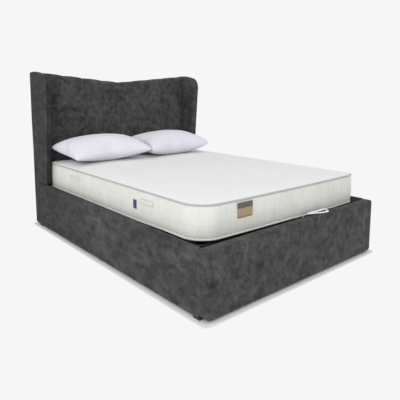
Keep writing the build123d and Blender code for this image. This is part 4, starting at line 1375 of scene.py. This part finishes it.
def flat_loop():
    """The webbing loop lying flat, its front strand crossing over the rear one at the end."""
    path = strap_path()
    slope = STRAP_RAKE / (2 * STRAP_BEND)
    path = np.column_stack([path, [(y - STRAP_FRONT) * slope for _, y in path]])
    along = np.gradient(path[:, :2], axis=0)
    along /= np.linalg.norm(along, axis=1, keepdims=True)
    sideways = np.column_stack([-along[:, 1], along[:, 0], along[:, 0] * slope])
    lift = np.linspace(0, 1, len(path)) ** STRAP_CROSSING * STRAP_THICK * STRAP_OVER + STRAP_CLEAR
    lift += STRAP_WAVE * np.sin(np.linspace(0, 4 * math.pi, len(path))) ** 2
    up = np.array((0.0, 0.0, 1.0))
    rings = [flat_ring(place + up * (STRAP_LOW + rise), side, up, STRAP_FLAT, STRAP_THICK)
             for place, side, rise in zip(path, sideways, lift)]
    return shell("strap_loop", rings, WEBBING)


def strap_tail():
    """The slack end that runs from the loop over the foot panel and down to the foot tube."""
    steps = [math.dist(a, b) for a, b in zip(TAIL_MARKS, TAIL_MARKS[1:])]
    travel = np.concatenate([[0.0], np.cumsum(steps)])
    stops = np.linspace(0, travel[-1], 60)
    tail = np.column_stack([np.interp(stops, travel, values) for values in zip(*TAIL_MARKS)])
    for _ in range(3):
        tail[1:-6] = (tail[:-7] + 2 * tail[1:-6] + tail[2:-5]) / 4
    slant = np.interp(stops, (0.0, travel[1], travel[6], travel[-1]),
                      (TAIL_START, TAIL_BEND, TAIL_END, TAIL_END))
    return strip("strap_tail", np.column_stack([slant, tail]), STRAP_WIDTH, STRAP_THICK, WEBBING,
                 (1.0, 0.0, 0.0))


def pull_strap():
    return joined("pull_strap_webbing", [flat_loop(), strap_tail()])


strap = pull_strap()
print("strap faces", len(strap.data.polygons))

# %% [markdown]
# ## Back of the headboard
# A thin black dust cloth is stapled over the back. It is one slack sheet with a little sag
# between the posts and rails that hold it.

# %% Dust cloth
CLOTH_BACK, CLOTH_THICK = 1.1588, 0.0012
CLOTH_LOW, CLOTH_DROP = 0.017, 0.006
CLOTH_HOLLOW, CLOTH_HOLLOWS = 0.0009, 2.5
CLOTH_WAVE, CLOTH_WAVES_WIDE, CLOTH_WAVES_HIGH = 0.0004, 0.9, 0.7


def dust_cloth():
    """A closed sheet: its back layer, its front layer and a rim between them."""
    columns, rows = 60, 48
    points, faces = [], []
    for layer in (0, 1):
        for i in range(columns + 1):
            x = -PAD_HALF + 2 * PAD_HALF * i / columns
            top = board_top(x) - CLOTH_DROP
            for j in range(rows + 1):
                z = CLOTH_LOW + (top - CLOTH_LOW) * j / rows
                across = math.sin(math.pi * i / columns)
                hollow = across * abs(math.sin(math.pi * CLOTH_HOLLOWS * j / rows))
                wave = CLOTH_WAVE * math.sin(i * CLOTH_WAVES_WIDE) * math.sin(j * CLOTH_WAVES_HIGH)
                y = CLOTH_BACK - CLOTH_HOLLOW * hollow + wave
                points.append((x, y - layer * CLOTH_THICK, z))
    size = (columns + 1) * (rows + 1)
    for i in range(columns):
        for j in range(rows):
            a, b = i * (rows + 1) + j, (i + 1) * (rows + 1) + j
            faces.append((a, b, b + 1, a + 1))
            faces.append((size + a, size + a + 1, size + b + 1, size + b))
    rim = [i * (rows + 1) for i in range(columns + 1)]
    rim += [columns * (rows + 1) + j for j in range(1, rows + 1)]
    rim += [i * (rows + 1) + rows for i in range(columns - 1, -1, -1)]
    rim += [j for j in range(rows - 1, 0, -1)]
    for a, b in zip(rim, rim[1:] + rim[:1]):
        faces.append((a, size + a, size + b, b))
    return outward(new_object("headboard_dust_cloth", points, faces, DUST_CLOTH))


back_sheet = dust_cloth()
print("dust cloth faces", len(back_sheet.data.polygons))

# %% [markdown]
# ## Things that repeat
# Stitches, staples and slats repeat many times along a line, so they are made with Geometry
# Nodes: one small shape, a rule for where it goes, and named inputs for its sizes. The result
# is turned into a plain mesh at the end.

# %% Geometry Nodes helper


class Recipe:
    """A Geometry Nodes tree with named inputs, and short ways to add its nodes."""

    def __init__(self, name, inputs):
        self.tree = bpy.data.node_groups.new(name, "GeometryNodeTree")
        face = self.tree.interface
        face.new_socket("Geometry", in_out="INPUT", socket_type="NodeSocketGeometry")
        self.keys = {}
        for label, kind in inputs.items():
            self.keys[label] = face.new_socket(label, in_out="INPUT", socket_type=kind).identifier
        face.new_socket("Geometry", in_out="OUTPUT", socket_type="NodeSocketGeometry")
        self.given = self.tree.nodes.new("NodeGroupInput").outputs
        self.result = self.tree.nodes.new("NodeGroupOutput")

    def node(self, kind, settings=None, values=None):
        made = self.tree.nodes.new(kind)
        for key, value in (settings or {}).items():
            setattr(made, key, value)
        for key, value in (values or {}).items():
            if isinstance(value, bpy.types.NodeSocket):
                self.tree.links.new(value, made.inputs[key])
            else:
                made.inputs[key].default_value = value
        return made

    def math(self, operation, first, second=0.0):
        values = {0: first, 1: second}
        return self.node("ShaderNodeMath", {"operation": operation}, values).outputs[0]

    def vector(self, x=0.0, y=0.0, z=0.0):
        return self.node("ShaderNodeCombineXYZ", None, {0: x, 1: y, 2: z}).outputs[0]

    def laid_along(self, shape):
        """One copy of a shape at each pitch along the given curve, turned to follow it."""
        path = self.node("GeometryNodeResampleCurve", {"mode": "LENGTH"},
                         {"Curve": self.given["Geometry"], "Length": self.given["Pitch"]})
        along = self.node("GeometryNodeInputTangent").outputs[0]
        turned = self.node("FunctionNodeAlignRotationToVector", {"axis": "X"},
                           {"Vector": along}).outputs[0]
        return self.node("GeometryNodeInstanceOnPoints", None, {
            "Points": path.outputs[0], "Instance": shape, "Rotation": turned}).outputs[0]

    def end(self, instances, material):
        real = self.node("GeometryNodeRealizeInstances", None, {0: instances}).outputs[0]
        painted = self.node("GeometryNodeSetMaterial", None,
                            {"Geometry": real, "Material": material}).outputs[0]
        self.tree.links.new(painted, self.result.inputs[0])

    def bake(self, source, name, values):
        """Runs the tree on an object and keeps what it makes as a plain mesh."""
        modifier = source.modifiers.new("recipe", "NODES")
        modifier.node_group = self.tree
        for label, value in values.items():
            modifier[self.keys[label]] = value
        mesh = evaluated_mesh(source)
        source.modifiers.clear()
        bpy.data.objects.remove(source, do_unlink=True)
        mesh.name = name
        return add_object(name, mesh)


def curve_from(name, paths):
    """A curve object with one straight-sided spline for each path; a closed one says so."""
    data = bpy.data.curves.new(name, "CURVE")
    data.dimensions = "3D"
    for points, closed in paths:
        spline = data.splines.new("POLY")
        spline.points.add(len(points) - 1)
        for target, place in zip(spline.points, points):
            target.co = (*[float(v) for v in place], 1.0)
        spline.use_cyclic_u = closed
    return add_object(name, data)


# %% [markdown]
# ### Stitches
# A row of stitches is a curve cut into equal steps with one small capsule laid along each step.
# The same tree sews the channels, the wings and the edge tapes.

# %% Stitches
STITCH_PITCH, STITCH_THREAD, CHANNEL_STITCH, WING_STITCH = 0.009, 0.0009, 0.0062, 0.006
TAPE_PITCH, TAPE_THREAD, TAPE_STITCH = 0.011, 0.0008, 0.0068
SEAM_STAND, TAPE_SEAM_STAND = 0.0012, 0.0006
SEAM_START, SEAM_GAP = 0.005, 0.01


def stitch_recipe():
    recipe = Recipe("row_of_stitches", {
        "Pitch": "NodeSocketFloat", "Stitch Length": "NodeSocketFloat",
        "Thread Radius": "NodeSocketFloat", "Thread": "NodeSocketMaterial"})
    given = recipe.given
    ball = recipe.node("GeometryNodeMeshUVSphere", None,
                       {"Segments": 6, "Rings": 5, "Radius": 1.0}).outputs[0]
    half = recipe.math("MULTIPLY", given["Stitch Length"], 0.5)
    size = recipe.vector(half, given["Thread Radius"], given["Thread Radius"])
    shaped = recipe.node("GeometryNodeTransform", None, {"Geometry": ball, "Scale": size})
    smooth = recipe.node("GeometryNodeSetShadeSmooth", None, {0: shaped.outputs[0]}).outputs[0]
    recipe.end(recipe.laid_along(smooth), given["Thread"])
    return recipe


STITCHES = stitch_recipe()


def sew(name, paths, pitch, length, radius, thread):
    return STITCHES.bake(curve_from(name + "_path", paths), name, {
        "Pitch": pitch, "Stitch Length": length, "Thread Radius": radius, "Thread": thread})


def channel_seams():
    """The seven seams between channels, from the mattress up over the top edge."""
    paths = []
    for number in range(1, CHANNELS):
        x = -PAD_HALF + 2 * PAD_HALF * number / CHANNELS
        front = PAD_FRONT + CHANNEL_DEPTH + GROOVE_DEPTH + SEAM_STAND
        top = pad_top(x)
        turn, high = front + TOP_ROUND, top - TOP_ROUND
        points = [(x, front, z) for z in np.linspace(PAD_LOW + SEAM_START, high, 40)]
        points += [(x, turn - TOP_ROUND * math.cos(a), high + TOP_ROUND * math.sin(a))
                   for a in np.radians(np.linspace(10, 90, 8))]
        points += [(x, y, top) for y in np.linspace(turn + SEAM_GAP, BACK_CLOTH - SEAM_GAP, 6)]
        paths.append((points, False))
    return paths


def tape_seams():
    """A closed level line at each edge tape; the lower one doesn't follow the tape's hang."""
    loop, _ = rounded_loop(NECK - 2 * TAPE_RADIUS + TAPE_SEAM_STAND)
    return [([(x, y, z) for x, y in loop], True) for z in (TOP_TAPE_HEIGHT, LOW_TAPE_HEIGHT)]


channel_stitches = sew("headboard_stitches", channel_seams(), STITCH_PITCH, CHANNEL_STITCH,
                       STITCH_THREAD, DARK_THREAD)
tape_stitches = sew("mattress_tape_stitches", tape_seams(), TAPE_PITCH, TAPE_STITCH,
                    TAPE_THREAD, THREAD)
print("stitch faces", len(channel_stitches.data.polygons), len(tape_stitches.data.polygons))

# %% [markdown]
# The wings have a sewn edge down the front outer corner: a thin rolled seam with a row of
# stitches beside it. The roll catches more light, and its velvet is painted a little lighter
# for that: a painted highlight.

# %% Wing seams
PIPING_RADIUS, PIPING_DEPTH, PIPING_SINK = 0.0034, 0.003, 0.0015
WING_SEAM_DEPTH, WING_SEAM_IN = 0.0015, 0.014


def wing_seam_line(side, depth, out):
    """A line along the wing's front and top edge, in from the outline by depth."""
    outline = wing_outline()
    soft = outline[:, 2] == SOFT
    return [(side * out, y, z) for y, z in inward(outline, depth)[soft][2:-2]]


def wing_piping(side):
    """A thin roll of velvet where the front and the outer face of a wing are sewn together."""
    line = wing_seam_line(side, PIPING_DEPTH, WING_OUTER - PIPING_SINK)
    roll = curve_from("piping_path", [(line, False)])
    roll.data.bevel_depth = PIPING_RADIUS
    roll.data.bevel_resolution = 3
    roll.data.use_fill_caps = True
    mesh = evaluated_mesh(roll)
    bpy.data.objects.remove(roll, do_unlink=True)
    # The piping takes the lighter velvet, its painted highlight.
    mesh.materials.append(PIPING_HIGHLIGHT_VELVET)
    smooth_faces(mesh)
    return add_object(hand(side) + "_wing_piping", mesh)


wing_pipings = [wing_piping(-1), wing_piping(1)]
wing_seams = [(wing_seam_line(side, WING_SEAM_DEPTH, WING_OUTER - WING_SEAM_IN), False)
              for side in (-1, 1)]
wing_stitches = sew("wing_stitches", wing_seams, STITCH_PITCH, WING_STITCH,
                    STITCH_THREAD, DARK_THREAD)
print("piping faces", len(wing_pipings[0].data.polygons))

# %% [markdown]
# ### Sprung slats
# Each slat is a strip of bent ply held at both ends: a shallow arc with rounded edges. One
# slat is swept along its arc and repeated up the platform, once for each row.

# %% Slats
SLAT_COUNT, SLAT_WIDTH, SLAT_THICK, SLAT_RISE, SLAT_EDGE = 14, 0.053, 0.008, 0.008, 0.0022
SLAT_LOW, SLAT_TRIM = 0.3637, 0.020


def slat_recipe():
    recipe = Recipe("row_of_slats", {
        "Count": "NodeSocketInt", "Pitch": "NodeSocketFloat", "Start": "NodeSocketVector",
        "Length": "NodeSocketFloat", "Width": "NodeSocketFloat", "Thickness": "NodeSocketFloat",
        "Rise": "NodeSocketFloat", "Wood": "NodeSocketMaterial"})
    given = recipe.given
    half = recipe.math("MULTIPLY", given["Length"], 0.5)
    line = recipe.node("GeometryNodeCurveQuadraticBezier", None, {
        "Resolution": 24, "Start": recipe.vector(recipe.math("MULTIPLY", half, -1.0)),
        "Middle": recipe.vector(0.0, 0.0, recipe.math("MULTIPLY", given["Rise"], 2.0)),
        "End": recipe.vector(half)}).outputs[0]
    section = recipe.node("GeometryNodeCurvePrimitiveQuadrilateral", None,
                          {"Width": given["Thickness"], "Height": given["Width"]}).outputs[0]
    rounded = recipe.node("GeometryNodeFilletCurve", {"mode": "POLY"},
                          {"Curve": section, "Radius": SLAT_EDGE, "Count": 4}).outputs[0]
    swept = recipe.node("GeometryNodeCurveToMesh", None,
                        {"Curve": line, "Profile Curve": rounded, "Fill Caps": True}).outputs[0]
    rows = recipe.node("GeometryNodeMeshLine", None, {
        "Count": given["Count"], "Start Location": given["Start"],
        "Offset": recipe.vector(0.0, given["Pitch"], 0.0)}).outputs[0]
    laid = recipe.node("GeometryNodeInstanceOnPoints", None,
                       {"Points": rows, "Instance": swept}).outputs[0]
    recipe.end(laid, given["Wood"])
    return recipe


SLATS = slat_recipe()


def slat_row(node):
    """One side's slats, spread over the box of the plain ones and a little shorter."""
    low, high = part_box(node)
    first = low[1] + SLAT_WIDTH / 2
    pitch = (high[1] - low[1] - SLAT_WIDTH) / (SLAT_COUNT - 1)
    start = ((low[0] + high[0]) / 2, first, SLAT_LOW + SLAT_THICK / 2)
    holder = new_object(node + "_holder", [(0, 0, 0)], [], BEECH)
    return SLATS.bake(holder, node + "_ply", {
        "Count": SLAT_COUNT, "Pitch": pitch, "Start": start,
        "Length": high[0] - low[0] - SLAT_TRIM, "Width": SLAT_WIDTH, "Thickness": SLAT_THICK,
        "Rise": SLAT_RISE, "Wood": BEECH})


slat_rows = {node: slat_row(node) for node in ("left_slats", "right_slats")}
print("slat faces", len(slat_rows["left_slats"].data.polygons))

# %% [markdown]
# ### Staples
# The dust cloth is stapled round its edge. A staple is a short flat bridge of wire, placed
# every few centimetres along the cloth's outline.

# %% Staples
STAPLE_IN, STAPLE_STAND, STAPLE_LOW = 0.014, 0.0002, 0.03
STAPLE_PITCH, STAPLE_WIDTH, STAPLE_WIRE = 0.045, 0.011, 0.0009
STAPLE_SIDE_TOP, STAPLE_MIDDLE_TOP = PAD_TOP_SIDE - 0.024, PAD_TOP_MIDDLE - 0.022


def staple_recipe():
    recipe = Recipe("row_of_staples", {
        "Pitch": "NodeSocketFloat", "Width": "NodeSocketFloat",
        "Wire": "NodeSocketFloat", "Steel": "NodeSocketMaterial"})
    given = recipe.given
    size = recipe.vector(given["Width"], given["Wire"], given["Wire"])
    wire = recipe.node("GeometryNodeMeshCube", None, {"Size": size}).outputs[0]
    recipe.end(recipe.laid_along(wire), given["Steel"])
    return recipe


STAPLES = staple_recipe()
staple_side = PAD_HALF - STAPLE_IN
staple_line = [(x, CLOTH_BACK + STAPLE_STAND, z) for x, z in (
    (-staple_side, STAPLE_LOW), (staple_side, STAPLE_LOW), (staple_side, STAPLE_SIDE_TOP),
    (0.0, STAPLE_MIDDLE_TOP), (-staple_side, STAPLE_SIDE_TOP))]
staples = STAPLES.bake(curve_from("staple_path", [(staple_line, True)]), "dust_cloth_staples",
                       {"Pitch": STAPLE_PITCH, "Width": STAPLE_WIDTH, "Wire": STAPLE_WIRE,
                        "Steel": ZINC})
print("staple faces", len(staples.data.polygons))

# %% [markdown]
# ## Putting it together
# Every new piece is told which part of the bed it moves with, and where it stands for a
# plain solid, that solid is hidden.

# %% Rides and replacements
BASE_VELVET = {
    left_rail: "left_side_rail_cover", right_rail: "right_side_rail_cover",
    foot_cover: "foot_panel_cover", headboard: "headboard_pad",
    lower_pad: "headboard_lower_pad", left_wing: "left_wing_cover",
    right_wing: "right_wing_cover",
}
for piece, node in BASE_VELVET.items():
    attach(piece, "base")
    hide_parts(node)
for piece in [channel_stitches, wing_stitches, *wing_pipings]:
    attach(piece, "base")

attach(back_sheet, "base")
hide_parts("headboard_back_cloth")
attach(staples, "base")

MATTRESS_PIECES = (
    (mattress_body, "mattress", "mattress_cloth"), (top_tape, "mattress_piping", "white_piping"),
    (handle_straps, "mattress_handles", "mattress_cloth"),
    (patch, "mattress_label", "label_cloth"), (tag, "mattress_tag", "tag_cloth"),
    (strap, "pull_strap", "webbing"),
)
for piece, node, slot in MATTRESS_PIECES:
    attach(piece, "platform")
    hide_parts(node)
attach(low_tape, "platform")
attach(tape_stitches, "platform")

for node, piece in pillow_pieces.items():
    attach(piece, "platform")
    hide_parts(node)
for node, piece in slat_rows.items():
    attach(piece, "platform")
    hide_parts(node)
print("pieces placed")

# %% [markdown]
# ## Floor and light
# The photograph has a plain pale ground that runs into the background without a line. The
# floor takes the bed's soft shadow near it, and further out it fades to the same pale tone as
# the background. Near the bed the floor also has a darker tone than that pale ground, painted
# shade that deepens the shadow. One large soft lamp and an even sky light the bed at a plain
# level.

# %% Floor and light
PALE, SHADOW_BAND_TONE = (0.922, 0.922, 0.922, 1.0), (0.76, 0.76, 0.76, 1.0)
SKY_LIGHT = 0.78
SHADOW_HALF_WIDTH, SHADOW_HALF_LENGTH = 0.80, 1.15
SHADOW_REACH, SHADOW_HOLD = 0.045, 3.0
FLOOR_HALF = 40


def studio_floor():
    """A plane that shows the bed's shadow close by, deepened with painted shade, and the plain pale
    ground further out.
    """
    finish = Finish("pale_floor", Roughness=1.0, Specular_IOR_Level=0.0)
    # Painted shade: near the bed the floor is darker than the pale ground, on top of its real
    # shadow.
    finish.shader.inputs["Base Color"].default_value = SHADOW_BAND_TONE
    x = finish.axis("X").size() - SHADOW_HALF_WIDTH
    y = finish.axis("Y").size() - SHADOW_HALF_LENGTH
    x, y = x.math("MAXIMUM", x, 0.0), y.math("MAXIMUM", y, 0.0)
    away = ((x * x + y * y) ** 0.5 / SHADOW_REACH).clipped() ** SHADOW_HOLD
    glow = finish.node("ShaderNodeEmission", None, {"Color": PALE, "Strength": 1.0}).outputs[0]
    mixed = finish.node("ShaderNodeMixShader", None,
                        {0: away, 1: finish.shader.outputs[0], 2: glow})
    ground = finish.tree.nodes["Material Output"].inputs["Surface"]
    finish.tree.links.new(mixed.outputs[0], ground)
    corners = [(-FLOOR_HALF, -FLOOR_HALF, 0), (FLOOR_HALF, -FLOOR_HALF, 0),
               (FLOOR_HALF, FLOOR_HALF, 0), (-FLOOR_HALF, FLOOR_HALF, 0)]
    floor = new_object("studio_floor", corners, [(0, 1, 2, 3)], finish.material)
    return floor


def studio_sky():
    world = bpy.data.worlds.new("studio_sky")
    bpy.context.scene.world = world
    world.use_nodes = True
    tree = world.node_tree
    sky = tree.nodes["Background"]
    sky.inputs["Color"].default_value = (1.0, 1.0, 1.0, 1.0)
    sky.inputs["Strength"].default_value = SKY_LIGHT
    backdrop = tree.nodes.new("ShaderNodeBackground")
    backdrop.inputs["Color"].default_value = PALE
    ray = tree.nodes.new("ShaderNodeLightPath")
    seen = tree.nodes.new("ShaderNodeMath")
    seen.operation = "MAXIMUM"
    tree.links.new(ray.outputs["Is Camera Ray"], seen.inputs[0])
    tree.links.new(ray.outputs["Is Glossy Ray"], seen.inputs[1])
    mixed = tree.nodes.new("ShaderNodeMixShader")
    tree.links.new(seen.outputs[0], mixed.inputs[0])
    tree.links.new(sky.outputs[0], mixed.inputs[1])
    tree.links.new(backdrop.outputs[0], mixed.inputs[2])
    tree.links.new(mixed.outputs[0], tree.nodes["World Output"].inputs["Surface"])


def soft_lamp(name, place, aim, size, power):
    lamp = bpy.data.lights.new(name, "AREA")
    lamp.shape = "RECTANGLE"
    lamp.size, lamp.size_y = size
    lamp.energy = power
    made = add_object(name, lamp)
    made.location = place
    made.rotation_euler = (Vector(aim) - Vector(place)).to_track_quat("-Z", "Y").to_euler()
    return made


studio_floor()
studio_sky()
LAMP_AIM = (0, 0, 0.4)
soft_lamp("key_lamp", (-4.2, -3.6, 2.9), LAMP_AIM, (2.5, 2.5), 120)
soft_lamp("top_lamp", (-0.5, -0.5, 4.8), LAMP_AIM, (3.5, 3.5), 18)
